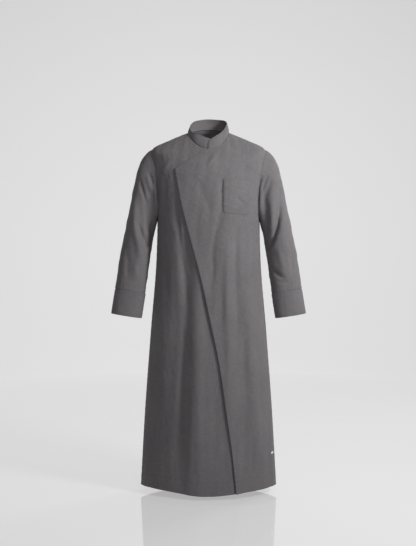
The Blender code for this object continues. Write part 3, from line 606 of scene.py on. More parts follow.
# Grids. Places run from 0 to 1 across and up each piece, closer together at its edges.
ROOT_SHARE = 17 / 28
FLAP_END = 6 / 24
NECK_END = 18 / 24
UNDER_SPLIT = 6 / 21
BACK_SPLIT = 6 / 36
ANGLE_PULL = 0.80
STATION_PULL = 0.65


def places(count, close, extra=()):
    """Even places from 0 to 1, with closer ones at each end and round the extra ones."""
    near = np.array(close)
    around = [value + near * way for value in extra for way in (-1, 1)]
    every = np.concatenate([np.linspace(0.0, 1.0, count + 1), near, 1.0 - near, extra, *around])
    every = np.unique(np.round(np.clip(every, 0.0, 1.0), 5))
    return every[np.concatenate([[True], np.diff(every) > 0.0004])]


CLOSE = (0.0015, 0.0035, 0.0060, 0.0100, 0.0160, 0.0240)
BACK_CLOSE = (0.0008, 0.0018, 0.0030, 0.0050, 0.0080)
HEM_SHARE = HEM_TURN / (UNDERARM - HEM) * ROOT_SHARE
SIDE_ROWS = places(300, (0.0008, 0.0018, 0.0030, 0.0045), (HEM_SHARE, ROOT_SHARE))


def patch(bottom, top, left, right, across, share):
    """Angles and stations inside four edges, each an array of pairs."""
    across = across[None, :, None]
    pulls = [smoothstep((share - start) / (1.0 - start)) for start in (ANGLE_PULL, STATION_PULL)]
    up = np.stack(pulls, axis=-1)[:, None, :]
    ends = (1 - across) * (left[:, None, :] - (1 - up) * bottom[0] - up * top[0])
    ends = ends + across * (right[:, None, :] - (1 - up) * bottom[-1] - up * top[-1])
    return (1 - up) * bottom[None, :, :] + up * top[None, :, :] + ends


def hole_turns(share, ahead):
    """How far round the armhole a side edge has come, at shares of its length."""
    return 180.0 * (1.0 - (share - ROOT_SHARE) / (1.0 - ROOT_SHARE)) * (1 if ahead else -1)


def side_edge(side, ahead, share):
    """Up the side seam, then round the front or back of the armhole to the shoulder tip."""
    seam = pairs(side * 90.0, HEM + (UNDERARM - HEM) * share / ROOT_SHARE)
    angles, stations = armhole(np.clip(hole_turns(share, ahead), -180.0, 180.0), side)
    if not ahead and side < 0:
        angles = angles + 360.0
        seam[:, 0] += 360.0
    return np.where((share <= ROOT_SHARE)[:, None], seam, pairs(angles, stations))


def free_edge(table, top_station, share):
    """A front's free edge, with a pair for each row of the panel."""
    low = HEM + (UNDERARM - HEM) * share / ROOT_SHARE
    high = UNDERARM + (top_station - UNDERARM) * (share - ROOT_SHARE) / (1.0 - ROOT_SHARE)
    stations = np.where(share <= ROOT_SHARE, low, high)
    angles = np.zeros_like(stations)
    for _ in range(14):
        angles = front_angle(edge_x(table, body(angles, stations)[..., 2]), stations)
    return pairs(angles, stations)


def over_grid(across, share):
    right = side_edge(1, True, share)
    corner = OVER_EDGE[-1]
    corner_angle, corner_station = front_place(np.array([corner.x]), np.array([corner.z]))
    left = free_edge(OVER_EDGE, corner_station[0], share)
    left[-1] = (corner_angle[0], corner_station[0])
    neck_front = body(np.array([0.0]), np.array([NECK]))[0]
    along = np.clip(across / FLAP_END, 0.0, 1.0)
    flap = pairs(*front_place(corner.x * (1 - along), corner.z + (neck_front[2] - corner.z) * along))
    neck = pairs(90.0 * np.clip((across - FLAP_END) / (NECK_END - FLAP_END), 0.0, 1.0), NECK)
    down = np.clip((across - NECK_END) / (1.0 - NECK_END), 0.0, 1.0)
    shoulder = pairs(90.0, NECK + (SHOULDER_TIP - NECK) * down)
    top = np.where((across < FLAP_END - 1e-6)[:, None], flap, neck)
    top = np.where((across > NECK_END)[:, None], shoulder, top)
    bottom = pairs(left[0, 0] + (90.0 - left[0, 0]) * across, HEM)
    return patch(bottom, top, left, right, across, share)


def under_grid(across, share):
    left = side_edge(-1, True, share)
    right = free_edge(UNDER_EDGE, NECK, share)
    right[:, 0] += (UNDER_NECK_END - right[:, 0]) * neck_share(right[:, 1])
    up = np.clip(across / UNDER_SPLIT, 0.0, 1.0)
    past = np.clip((across - UNDER_SPLIT) / (1.0 - UNDER_SPLIT), 0.0, 1.0)
    shoulder = pairs(-90.0, SHOULDER_TIP + (NECK - SHOULDER_TIP) * up)
    neck = pairs(-90.0 + (90.0 + UNDER_NECK_END) * past, NECK)
    top = np.where((across < UNDER_SPLIT)[:, None], shoulder, neck)
    bottom = pairs(-90.0 + (right[0, 0] + 90.0) * across, HEM)
    return patch(bottom, top, left, right, across, share)


def back_grid(across, share):
    left = side_edge(1, False, share)
    right = side_edge(-1, False, share)
    up = np.clip(across / BACK_SPLIT, 0.0, 1.0)
    past = np.clip((across - BACK_SPLIT) / (1.0 - 2 * BACK_SPLIT), 0.0, 1.0)
    down = np.clip((across - 1 + BACK_SPLIT) / BACK_SPLIT, 0.0, 1.0)
    first = pairs(90.0, SHOULDER_TIP + (NECK - SHOULDER_TIP) * up)
    last = pairs(270.0, NECK + (SHOULDER_TIP - NECK) * down)
    neck = pairs(90.0 + 180.0 * past, NECK)
    top = np.where((across < BACK_SPLIT)[:, None], first, neck)
    top = np.where((across > 1 - BACK_SPLIT)[:, None], last, top)
    bottom = pairs(90.0 + 180.0 * across, HEM)
    return patch(bottom, top, left, right, across, share)


# Cloth details
def grid_normals(points, way=1):
    """Unit normals of a grid of points; way is -1 where the grid runs the other way round."""
    return way * unit(np.cross(np.gradient(points, axis=1), np.gradient(points, axis=0)))


def ways_in(points):
    """Distances along the grid from its left, right, bottom and top edges."""
    across = np.linalg.norm(np.diff(points, axis=1), axis=-1)
    up = np.linalg.norm(np.diff(points, axis=0), axis=-1)
    left = np.concatenate([np.zeros((len(points), 1)), np.cumsum(across, axis=1)], axis=1)
    low = np.concatenate([np.zeros((1, points.shape[1])), np.cumsum(up, axis=0)], axis=0)
    return {"left": left, "right": left[:, -1:] - left, "bottom": low, "top": low[-1:] - low}


def bump(distance, middle, width):
    return np.exp(-(((distance - middle) / width) ** 2))


def ripple(u, v, seed, wave):
    """Uneven soft waves, mostly crossing u, from about -1 to 1."""
    chance = np.random.default_rng(seed)
    total = np.zeros_like(u)
    for _ in range(WAVE_COUNT):
        length = chance.uniform(wave.least, wave.most)
        lean = chance.uniform(-wave.spread, wave.spread)
        phase = chance.uniform(0.0, 2.0 * math.pi)
        run = u * math.cos(lean) + v * math.sin(lean) / wave.tall
        total += np.sin(2.0 * math.pi * run / length + phase)
    return total / WAVE_COUNT ** 0.5


def seam_profile(distance, along, seed):
    """A sewn seam: a groove, the swell of the allowance under it and small puckers."""
    pucker = ripple(along, distance, seed, SEAM_PUCKERS)
    out = -SEAM_DIP * bump(distance, 0.0, SEAM_WIDTH) + SEAM_SWELL * bump(distance, 0.0065, 0.0035)
    return out + PUCKER * pucker * np.exp(-distance / 0.016) * smoothstep(distance / 0.003)


def turned_profile(distance, turn, along, seed):
    """A turned and stitched edge: a little thicker out to its line of stitches, which sinks in."""
    pucker = ripple(along, distance, seed, HEM_PUCKERS)
    doubled = 1.0 - smoothstep((distance - turn + 0.0015) / 0.003)
    out = 0.0003 * doubled - STITCH_DIP * bump(distance, turn, STITCH_DIP_WIDTH)
    return out + 0.8 * PUCKER * pucker * bump(distance, turn, 0.012)


def valley(distance, z):
    """The soft hollow where a sleeve hangs against the body, beside the lower half of its seam."""
    high, low, end, rise = VALLEY_HEIGHTS
    tall = smoothstep((high - z) / (high - low)) * smoothstep((z - end) / (rise - end))
    return -VALLEY * bump(distance, 0.0, VALLEY_WIDTH) * tall


def hole_share(z):
    """How deep an armhole seam is, against other seams: shallow at the top of the shoulder."""
    low, high = HEAD_HEIGHTS
    return 0.6 * (1.0 - 0.7 * smoothstep((z - low) / (high - low)))


def close_ring(*grids):
    """Makes the first and last columns of grids that go round a tube the same."""
    for grid in grids:
        grid[:, 0] = grid[:, -1] = (grid[:, 0] + grid[:, -1]) / 2


def mesh_piece(name, vertices, faces, grain=None):
    mesh = bpy.data.meshes.new(name)
    mesh.from_pydata(vertices.tolist(), [], faces)
    mesh.shade_smooth()
    mesh.set_sharp_from_angle(angle=math.radians(55.0))
    if grain is not None:
        layer = mesh.attributes.new("grain", "FLOAT_VECTOR", "POINT")
        layer.data.foreach_set("vector", grain.astype(np.float32).ravel())
    made = bpy.data.objects.new(name, mesh)
    bpy.context.scene.collection.objects.link(made)
    return made


def shell(name, outer, normals, thickness, grain, round_edges):
    """A closed thin shell inside a grid of outer points. Its four edges (bottom, right, top, left)
    are rounded out by the given shares of the thickness, 0 at a seam."""
    rows, columns = outer.shape[:2]
    thick = np.broadcast_to(thickness, outer.shape[:2])
    inner = outer - normals * thick[..., None]
    index = np.arange(rows * columns).reshape(rows, columns)
    loop = np.concatenate([index[0, :-1], index[:-1, -1], index[-1, :0:-1], index[:0:-1, 0]])
    beside = np.concatenate([index[1, :-1], index[:-1, -2], index[-2, :0:-1], index[:0:-1, 1]])
    rounding = np.repeat(round_edges, (columns - 1, rows - 1, columns - 1, rows - 1))
    flat_outer, flat_inner = outer.reshape(-1, 3), inner.reshape(-1, 3)
    away = unit(flat_outer[loop] - flat_outer[beside])
    bulge = (rounding * thick.ravel()[loop])[:, None]
    middle = (flat_outer[loop] + flat_inner[loop]) / 2 + away * bulge
    vertices = np.concatenate([flat_outer, flat_inner, middle]) - ORIGIN
    a, b, c, d = index[:-1, :-1], index[:-1, 1:], index[1:, 1:], index[1:, :-1]
    front = np.stack([a, b, c, d], axis=-1).reshape(-1, 4)
    shift = rows * columns
    ring = 2 * shift + np.arange(len(loop))
    following, ring_next = np.roll(loop, -1), np.roll(ring, -1)
    rim = [
        np.stack([following, loop, ring, ring_next], axis=-1),
        np.stack([ring_next, ring, loop + shift, following + shift], axis=-1),
    ]
    faces = np.concatenate([front, front[:, ::-1] + shift, *rim])
    cell = front[len(front) // 2]
    p = flat_outer[cell]
    if np.dot(np.cross(p[1] - p[0], p[2] - p[0]), normals.reshape(-1, 3)[cell[0]]) < 0:
        faces = faces[:, ::-1]
    flat_grain = grain.reshape(-1, 3)
    whole_grain = np.concatenate([flat_grain, flat_grain, flat_grain[loop]])
    return mesh_piece(name, vertices, faces.tolist(), whole_grain)


def threads(name, points, normals):
    """A line of separate stitches along points, each a little arch of thread that dips in at its ends."""
    steps = np.linalg.norm(np.diff(points, axis=0), axis=-1)
    along = np.concatenate([[0.0], np.cumsum(steps)])
    count = int(along[-1] / (STITCH_LENGTH + STITCH_SPACE))
    starts = (np.arange(count) + 0.5) * along[-1] / count - STITCH_LENGTH / 2
    share, size, rise = np.array(STITCH_SHAPE).T
    at = starts[:, None] + share * STITCH_LENGTH
    place = np.stack([np.interp(at, along, points[:, k]) for k in range(3)], axis=-1)
    up = unit(np.stack([np.interp(at, along, normals[:, k]) for k in range(3)], axis=-1))
    way = unit(place[:, -1:] - place[:, :1])
    sideways = unit(np.cross(up, way))
    place = place + up * (rise * THREAD_RADIUS)[None, :, None]
    turn = np.linspace(0.0, 2.0 * math.pi, STITCH_SIDES, endpoint=False)
    ring = sideways[:, :, None] * np.cos(turn)[:, None] + up[:, :, None] * np.sin(turn)[:, None]
    vertices = place[:, :, None] + ring * (size * THREAD_RADIUS)[None, :, None, None]
    rings = len(STITCH_SHAPE)
    faces = []
    for first in range(0, count * rings * STITCH_SIDES, rings * STITCH_SIDES):
        for low in range(first, first + (rings - 1) * STITCH_SIDES, STITCH_SIDES):
            for i in range(STITCH_SIDES):
                n = (i + 1) % STITCH_SIDES
                faces.append((low + i, low + STITCH_SIDES + i, low + STITCH_SIDES + n, low + n))
        last = first + (rings - 1) * STITCH_SIDES
        faces.append(tuple(first + i for i in range(STITCH_SIDES)))
        faces.append(tuple(last + i for i in reversed(range(STITCH_SIDES))))
    return mesh_piece(name, vertices.reshape(-1, 3) - ORIGIN, faces)


def line_at(points, normals, distance, value, by_row):
    """The line on a grid where a distance from an edge has a value: a point in each row or column."""
    if not by_row:
        points, normals = points.transpose(1, 0, 2), normals.transpose(1, 0, 2)
        distance = distance.T
    found, facing = [], []
    for p, n, d in zip(points, normals, distance):
        order = slice(None) if d[0] < d[-1] else slice(None, None, -1)
        d = d[order]
        if d[-1] < value:
            continue
        found.append([np.interp(value, d, p[order][:, k]) for k in range(3)])
        facing.append([np.interp(value, d, n[order][:, k]) for k in range(3)])
    return np.array(found), np.array(facing)


# Materials
def new_material(name):
    """A material, its node tree and its shader."""
    material = bpy.data.materials.new(name)
    material.use_nodes = True
    return material, material.node_tree, material.node_tree.nodes["Principled BSDF"]


def set_inputs(node, values):
    for name, value in values.items():
        node.inputs[name].default_value = value


def math_node(tree, operation, *inputs):
    node = tree.nodes.new("ShaderNodeMath")
    node.operation = operation
    for socket, value in zip(node.inputs, inputs):
        if isinstance(value, (int, float)):
            socket.default_value = value
        else:
            tree.links.new(value, socket)
    return node.outputs[0]


def weighted(tree, parts):
    """The sum of sockets, each times its weight."""
    total = 0.0
    for socket, weight in parts:
        total = math_node(tree, "MULTIPLY_ADD", socket, weight, total)
    return total


def mapped(tree, value, source, target=(0.0, 1.0), kind="LINEAR"):
    """A value carried from one range to another."""
    node = tree.nodes.new("ShaderNodeMapRange")
    node.interpolation_type = kind
    set_inputs(node, {"From Min": source[0], "From Max": source[1], "To Min": target[0], "To Max": target[1]})
    tree.links.new(value, node.inputs["Value"])
    return node.outputs[0]


def stretched_noise(tree, vector, scale, detail):
    """Noise with its own scale along each of the cloth's directions, in turns a metre."""
    sized = tree.nodes.new("ShaderNodeVectorMath")
    sized.operation = "MULTIPLY"
    sized.inputs[1].default_value = scale
    tree.links.new(vector, sized.inputs[0])
    noise = tree.nodes.new("ShaderNodeTexNoise")
    set_inputs(noise, {"Scale": 1.0, "Detail": detail})
    tree.links.new(sized.outputs[0], noise.inputs["Vector"])
    return noise.outputs["Fac"]


def relief(tree, shader, height, strength, distance):
    node = tree.nodes.new("ShaderNodeBump")
    set_inputs(node, {"Strength": strength, "Distance": distance})
    tree.links.new(height, node.inputs["Height"])
    tree.links.new(node.outputs[0], shader.inputs["Normal"])


def split_axes(tree, vector):
    node = tree.nodes.new("ShaderNodeSeparateXYZ")
    tree.links.new(vector, node.inputs[0])
    return node.outputs


def woven(name, dark, light, pitch=0.00075, slub=1.0, sheen=0.12):
    """A matt plain weave: slubby threads of two tones both ways, uneven dye and a soft nap."""
    material, tree, shader = new_material(name)
    grain = tree.nodes.new("ShaderNodeAttribute")
    grain.attribute_name = "grain"
    vector = grain.outputs["Vector"]
    ways = split_axes(tree, vector)
    rows = [math_node(tree, "SINE", math_node(tree, "MULTIPLY", ways[k], math.pi / pitch)) for k in (0, 1)]
    crossing = math_node(tree, "MULTIPLY", *rows)
    weft = stretched_noise(tree, vector, (50.0, 950.0, 1.0), 2.0)
    long_slub = stretched_noise(tree, vector, (26.0, 360.0, 3.0), 1.0)
    warp = stretched_noise(tree, vector, (900.0, 30.0, 5.0), 2.0)
    cloud = stretched_noise(tree, vector, (9.0, 6.0, 7.0), 3.0)
    fluff = stretched_noise(tree, vector, (1700.0, 1700.0, 9.0), 2.0)
    thick = math_node(tree, "POWER", math_node(tree, "MULTIPLY", long_slub, 1.25), 5.0)
    tones = ((weft, 0.40), (warp, 0.34), (cloud, 0.26), (thick, 0.16 * slub), (crossing, 0.05))
    mix = tree.nodes.new("ShaderNodeMix")
    mix.data_type = "RGBA"
    colours = [socket for socket in mix.inputs if socket.type == "RGBA"]
    colours[0].default_value = (*dark, 1.0)
    colours[1].default_value = (*light, 1.0)
    tree.links.new(mapped(tree, weighted(tree, tones), (0.276, 0.856)), mix.inputs["Factor"])
    blend = [socket for socket in mix.outputs if socket.type == "RGBA"][0]
    tree.links.new(blend, shader.inputs["Base Color"])
    tree.links.new(mapped(tree, fluff, (0.0, 1.0), (0.80, 0.96)), shader.inputs["Roughness"])
    heights = ((crossing, 0.30), (weft, 0.60), (warp, 0.35), (thick, 0.60 * slub), (fluff, 0.25))
    relief(tree, shader, weighted(tree, heights), 0.55, 0.00022)
    set_inputs(shader, {"Specular IOR Level": 0.18, "Sheen Weight": sheen, "Sheen Roughness": 0.55})
    set_inputs(shader, {"Sheen Tint": (0.80, 0.78, 0.80, 1.0)})
    return material


def twisted_thread(name, dark, light):
    """Sewing thread: fine twisted strands, from the object's own coordinates."""
    material, tree, shader = new_material(name)
    place = tree.nodes.new("ShaderNodeTexCoord").outputs["Object"]
    strand = stretched_noise(tree, place, (2600.0, 2600.0, 2600.0), 2.0)
    ramp = tree.nodes.new("ShaderNodeValToRGB")
    for element, position, tone in zip(ramp.color_ramp.elements, (0.35, 0.65), (dark, light)):
        element.position = position
        element.color = (*tone, 1.0)
    tree.links.new(strand, ramp.inputs[0])
    tree.links.new(ramp.outputs[0], shader.inputs["Base Color"])
    set_inputs(shader, {"Roughness": 0.6})
    relief(tree, shader, strand, 0.4, 0.0001)
    return material


CHARCOAL = woven("charcoal_weave", (0.082, 0.077, 0.081), (0.172, 0.163, 0.169))
TAG_WHITE = woven("white_weave", (0.70, 0.70, 0.69), (0.88, 0.88, 0.87), pitch=0.0004, slub=0.0, sheen=0.05)
SEWING = twisted_thread("charcoal_thread", (0.055, 0.052, 0.054), (0.125, 0.118, 0.123))

Dressed = namedtuple("Dressed", "piece points normals away")


def dress(node, points, normals, away, thickness, grain, round_edges=NO_ROUNDING, material=CHARCOAL):
    """A finished shell of cloth in place of its solid."""
    piece = shell(node + "_cloth", points, unit(normals), thickness, grain, round_edges)
    piece.data.materials.append(material)
    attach(piece, "root")
    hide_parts(node)
    return Dressed(piece, points, normals, away)


def sew(name, cloth, edge, distance, rows=slice(None), columns=slice(None)):
    """Stitches along a line of a dressed piece, at a distance from one of its edges."""
    grids = [grid[rows][:, columns] for grid in (cloth.points, cloth.normals, cloth.away[edge])]
    made = threads(name, *line_at(*grids, distance, by_row=edge in ("left", "right")))
    made.data.materials.append(SEWING)
    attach(made, "root")
    return made


# Pieces
def body_grain(angle, station):
    """Thread directions on the body: along its girth, and up its side."""
    angles = np.linspace(-180.0, 400.0, 291)
    levels = np.linspace(HEM, NECK, 45)
    points = body(*np.meshgrid(angles, levels))
    steps = np.linalg.norm(np.diff(points, axis=1)[..., :2], axis=-1)
    run = np.concatenate([np.zeros((len(levels), 1)), np.cumsum(steps, axis=1)], axis=1)
    run = run - run[:, np.searchsorted(angles, [0.0])]
    column_place = (angle - angles[0]) / (angles[1] - angles[0])
    row_place = (station - HEM) / (levels[1] - levels[0])
    c = np.clip(column_place.astype(int), 0, len(angles) - 2)
    r = np.clip(row_place.astype(int), 0, len(levels) - 2)
    s, t = column_place - c, row_place - r
    low = run[r, c] * (1 - s) + run[r, c + 1] * s
    high = run[r + 1, c] * (1 - s) + run[r + 1, c + 1] * s
    return np.stack([low * (1 - t) + high * t, station, np.zeros_like(station)], axis=-1)


SLEEVE_SURFACES = {side: sleeve_surface(side) for side in (1, -1)}


def hole_normals(turns, side):
    """Normals on an armhole seam, halfway between the body's and the sleeve's."""
    start = np.full(np.shape(turns), 0.02)
    sleeve_normals = side * normal_of(SLEEVE_SURFACES[side], turns, start, 1.0, 0.01)
    return unit(body_normal(*armhole(turns, side)) + sleeve_normals)


def armhole_blend(normals, share, side, ahead, distance):
    """Leans a panel's normals towards the sleeve's beside the armhole, so that the two meet."""
    on_hole = share > ROOT_SHARE
    shared = hole_normals(hole_turns(share[on_hole], ahead), side)
    near = bump(distance[on_hole], 0.0, HOLE_BLEND)[..., None]
    normals[on_hole] = unit(normals[on_hole] * (1 - near) + shared[:, None, :] * near)
    return normals


Seam = namedtuple("Seam", "edge turn start end weight", defaults=(0.0, 0.0, 1.0, 1.0))
HEM_EDGE = Seam("bottom", HEM_TURN)
HOLE_EDGES = {
    "over": (("right", 1, True),),
    "under": (("left", -1, True),),
    "back": (("left", 1, False), ("right", -1, False)),
}


def panel(node, piece, grid, across, seams, seed):
    """One panel of the body with its seams, turned edges, puckers and soft unevenness. A seam with
    a turn is a turned edge that wide, and one with a start and end is on that part of the edge."""
    share = SIDE_ROWS
    place = grid(across, share)
    angle, station = place[..., 0], place[..., 1]
    base = panel_surface(piece, fine=True)(angle, station)
    normals = grid_normals(base)
    away = ways_in(base)
    grain = body_grain(angle, station)
    u, v = grain[..., 0], grain[..., 1]
    z = base[..., 2]
    quiet = smoothstep(np.minimum(np.minimum(away["left"], away["right"]), away["top"]) / 0.03)
    out = WOBBLE * ripple(u, v, seed, PANEL_WAVES) * quiet
    out = out + FINE_WOBBLE * ripple(u, v, seed + 1, FINE_PANEL_WAVES) * quiet
    holes = [edge for edge, side, ahead in HOLE_EDGES[piece]]
    beside = smoothstep((share - ROOT_SHARE) / 0.03)[:, None]
    for k, seam in enumerate(seams):
        along = v if seam.edge in ("left", "right") else u
        if seam.turn:
            profile = turned_profile(away[seam.edge], seam.turn, along, seed + 2 + k)
        else:
            profile = seam_profile(away[seam.edge], along, seed + 2 + k)
        if seam.edge in holes:
            profile = profile * (1.0 - beside * (1.0 - hole_share(z))) + valley(away[seam.edge], z)
        inside = (across >= seam.start) & (across <= seam.end)
        out = out + seam.weight * profile * inside[None, :]
    if piece == "over":
        out = out + FLAP_STAND * bump(away["left"], 0.0, FLAP_STAND_WIDTH) * smoothstep((0.95 - v) / 0.35)
    for edge, side, ahead in HOLE_EDGES[piece]:
        normals = armhole_blend(normals, share, side, ahead, away[edge])
    outer = base + normals * out[..., None]
    turned = {seam.edge: seam.turn for seam in seams if seam.turn}
    doubled = np.max([1.0 - smoothstep((away[edge] - turn) / 0.002) for edge, turn in turned.items()], axis=0)
    final = grid_normals(outer)
    for edge, side, ahead in HOLE_EDGES[piece]:
        final = armhole_blend(final, share, side, ahead, away[edge])
    rounding = [0.5 if edge in turned else 0.0 for edge in ("bottom", "right", "top", "left")]
    return dress(node, outer, final, away, SHELL * (1.0 + 0.6 * doubled), grain, rounding)


def sleeve_grain(turn, length, girth):
    return np.stack([(turn - 360.0) / 360.0 * girth, length, np.zeros_like(length)], axis=-1)


def ring_girth(points):
    return np.linalg.norm(np.diff(points, axis=1), axis=-1).sum(axis=1)[:, None]


def sleeve(side, word, seed):
    across = places(110, (0.003, 0.006, 0.010, 0.016))
    share = places(150, (0.0015, 0.0035, 0.006, 0.009, 0.013))
    turn, station = np.meshgrid(180.0 + 360.0 * across, share)
    base = SLEEVE_SURFACES[side](turn, station)
    away = ways_in(base)
    hang = unit(base[-1].mean(axis=0) - base[0].mean(axis=0))
    grain = sleeve_grain(turn, -(base @ hang), ring_girth(base).max())
    u, v = grain[..., 0], grain[..., 1]
    quiet = smoothstep(away["bottom"] / 0.03) * smoothstep(away["top"] / 0.02)
    out = WOBBLE * ripple(v, u, seed, SLEEVE_WAVES) * quiet
    out = out + FINE_WOBBLE * ripple(u, v, seed + 1, FINE_SLEEVE_WAVES) * quiet
    gather = ripple(u, v, seed + 2, SLEEVE_GATHERS)
    out = out + 0.0008 * gather * np.exp(-away["top"] / 0.016) * smoothstep(away["top"] / 0.003)
    out = out + 0.0005 * bump(away["bottom"], 0.009, 0.005)
    hollow = valley(away["bottom"], base[..., 2])
    out = out + hollow * (1.0 + 1.4 * smoothstep(away["bottom"] / 0.007))
    for k, edge in enumerate(("left", "right", "bottom", "top")):
        along = v if edge in ("left", "right") else u
        weight = hole_share(base[..., 2]) if edge == "bottom" else 1.0
        out = out + seam_profile(away[edge], along, seed + 4 + k) * weight
    shared = hole_normals(turn[0], side)[None]
    near = bump(away["bottom"], 0.0, HOLE_BLEND)[..., None]
    outer = base + unit(grid_normals(base, side) * (1 - near) + shared * near) * out[..., None]
    final = unit(grid_normals(outer, side) * (1 - near) + shared * near)
    close_ring(outer, final)
    return dress(word + "_sleeve", outer, final, away, SHELL, grain)


def cuff(side, word, seed):
    across = places(96, (0.003, 0.006, 0.010, 0.016))
    share = places(30, (0.008, 0.018, 0.032), (0.022, 0.085))
    turn, station = np.meshgrid(180.0 + 360.0 * across, share)
    base = tube(CUFF_RINGS, turn, station, side)
    away = ways_in(base)
    length = np.broadcast_to(-away["bottom"][:, :1] - 0.65, turn.shape)
    grain = sleeve_grain(turn, length, ring_girth(base))
    u, v = grain[..., 0], grain[..., 1]
    out = 0.6 * WOBBLE * ripple(u, v, seed, CUFF_WAVES)
    out = out - SEAM_DIP * bump(away["bottom"], 0.0, SEAM_WIDTH)
    for mark, edge, distance in CUFF_LINES:
        out = out - STITCH_DIP * bump(away[edge], distance, LINE_DIP_WIDTH)
    out = out + 0.5 * PUCKER * ripple(u, v, seed + 2, CUFF_PUCKERS)
    for edge in ("left", "right"):
        out = out + seam_profile(away[edge], v, seed + 3)
    outer = base + grid_normals(base, side) * out[..., None]
    final = grid_normals(outer, side)
    close_ring(outer, final)
    cloth = dress(word + "_cuff", outer, final, away, CUFF_SHELL, grain, (0.3, 0.0, 0.5, 0.0))
    name = word + "_cuff_stitches_"
    return cloth, [sew(name + mark, cloth, edge, distance) for mark, edge, distance in CUFF_LINES]


def collar(seed):
    across = places(190, (0.0025, 0.006, 0.010, 0.014))
    share = places(20, (0.02, 0.05, 0.09, 0.13))
    angle, up = np.meshgrid(COLLAR_UNDER_END * across, share)
    base = collar_surface(angle, up)
    away = ways_in(base)
    grain = body_grain(angle, np.full(angle.shape, NECK))
    grain[..., 1] += away["bottom"]
    u, v = grain[..., 0], grain[..., 1]
    out = 0.5 * WOBBLE * ripple(u, v, seed, COLLAR_WAVES)
    shallow = 0.3 + 0.7 * smoothstep((angle - 60.0) / 40.0)
    out = out - SEAM_DIP * bump(away["bottom"], 0.0, SEAM_WIDTH) * shallow
    for edge in ("top", "left", "right"):
        out = out - STITCH_DIP * bump(away[edge], COLLAR_LINE, LINE_DIP_WIDTH)
    outer = base + grid_normals(base) * out[..., None]
    final = grid_normals(outer)
    outer[0] += np.array([0.0, 0.0, -COLLAR_TUCK]) - 0.5 * COLLAR_TUCK * final[0]
    cloth = dress("collar", outer, final, away, COLLAR_SHELL, grain, (0.0, 0.5, 0.5, 0.5))
    keep = (across > 0.012) & (across < 0.988)
    rows = (away["top"][:, 0] > COLLAR_LINE) & (away["bottom"][:, 0] > 0.002)
    top = sew("collar_stitches", cloth, "top", COLLAR_LINE, columns=keep)
    return cloth, [top, sew("collar_end_stitches", cloth, "left", COLLAR_LINE, rows=rows)]


def over_surface(angle, station, height):
    """Points at a height above the finished upper front."""
    surface = panel_surface("over", fine=True)
    normals = normal_of(surface, angle, station, 0.4, 0.001)
    return surface(angle, station) + normals * height[..., None], normals


def breast_pocket(seed):
    """A patch pocket with round lower corners, stitched down at its sides and bottom."""
    across = places(70, (0.008, 0.016, 0.024, 0.034))
    straight = np.linspace(0.0, 1.0, 56) * (POCKET_DEPTH - POCKET_CORNER)
    straight = np.unique(np.round(np.concatenate([straight, POCKET_ROWS]), 5))
    turn = np.radians(np.linspace(0.0, 90.0, 13))[1:]
    down = np.concatenate([straight, straight[-1] + POCKET_CORNER * np.sin(turn)])[:, None]
    inset = POCKET_CORNER * np.concatenate([np.zeros(len(straight)), 1.0 - np.cos(turn)])[:, None]
    width = POCKET_OUTER_X - POCKET_INNER_X
    x = POCKET_INNER_X + inset + (width - 2 * inset) * across[None, :]
    z = POCKET_TOP_Z - down + POCKET_TILT * (x - POCKET_INNER_X)
    angle, station = front_place(x, z)
    side = np.minimum(x - POCKET_INNER_X - inset, POCKET_OUTER_X - inset - x)
    mouth = np.broadcast_to(down, x.shape)
    low = POCKET_DEPTH - mouth
    edge = np.minimum(side, low)
    height = 0.0007 + 0.0008 * smoothstep(edge / 0.0035)
    height = height - STITCH_DIP * bump(edge, POCKET_LINE, LINE_DIP_WIDTH)
    height = height + 0.0009 * smoothstep(edge / 0.030)
    height = height + 0.0016 * np.sin(math.pi * across) * np.exp(-mouth / 0.022)
    free = smoothstep(side / 0.004)
    height = height + 0.0003 * (1.0 - smoothstep((mouth - POCKET_HEM + 0.0005) / 0.002)) * free
    height = height - STITCH_DIP * bump(mouth, POCKET_HEM, 0.0014) * free
    height = height + PUCKER * ripple(x, z, seed, POCKET_WAVES) * smoothstep(edge / 0.01)
    outer = over_surface(angle, station, height)[0]
    grain = body_grain(angle, station) + np.array([0.0, 0.0, 0.002])
    away = {"left": side, "right": side, "bottom": low, "top": mouth}
    final = grid_normals(outer, -1)
    cloth = dress("breast_pocket", outer, final, away, POCKET_SHELL, grain, ALL_ROUND)
    half = len(across) // 2
    lines = (
        ("pocket_inner_stitches", "left", POCKET_LINE, slice(half)),
        ("pocket_outer_stitches", "right", POCKET_LINE, slice(half, None)),
        ("pocket_bottom_stitches", "bottom", POCKET_LINE, (across > 0.10) & (across < 0.90)),
        ("pocket_hem_stitches", "top", POCKET_HEM, (across > 0.035) & (across < 0.965)),
    )
    return cloth, [sew(name, cloth, edge, distance, columns=part) for name, edge, distance, part in lines]


def side_tag():
    """A blank folded tag caught in the side seam, its free end standing a little off the cloth."""
    across = np.linspace(0.0, 1.0, 22)
    share = np.linspace(-0.5, 0.5, 9)
    low, high = TAG_WIDTH_DEGREES
    angle, level = np.meshgrid(low + (high - low) * across, TAG_Z + TAG_HEIGHT * share)
    height = 0.0012 + 0.0009 * (1.0 - across) ** 2 + 0.0002 * np.cos(math.pi * level / TAG_HEIGHT)
    outer, normals = over_surface(angle, level, height)
    grain = body_grain(angle, level)
    return dress("side_tag", outer, normals, {}, TAG_SHELL, grain, ALL_ROUND, TAG_WHITE)


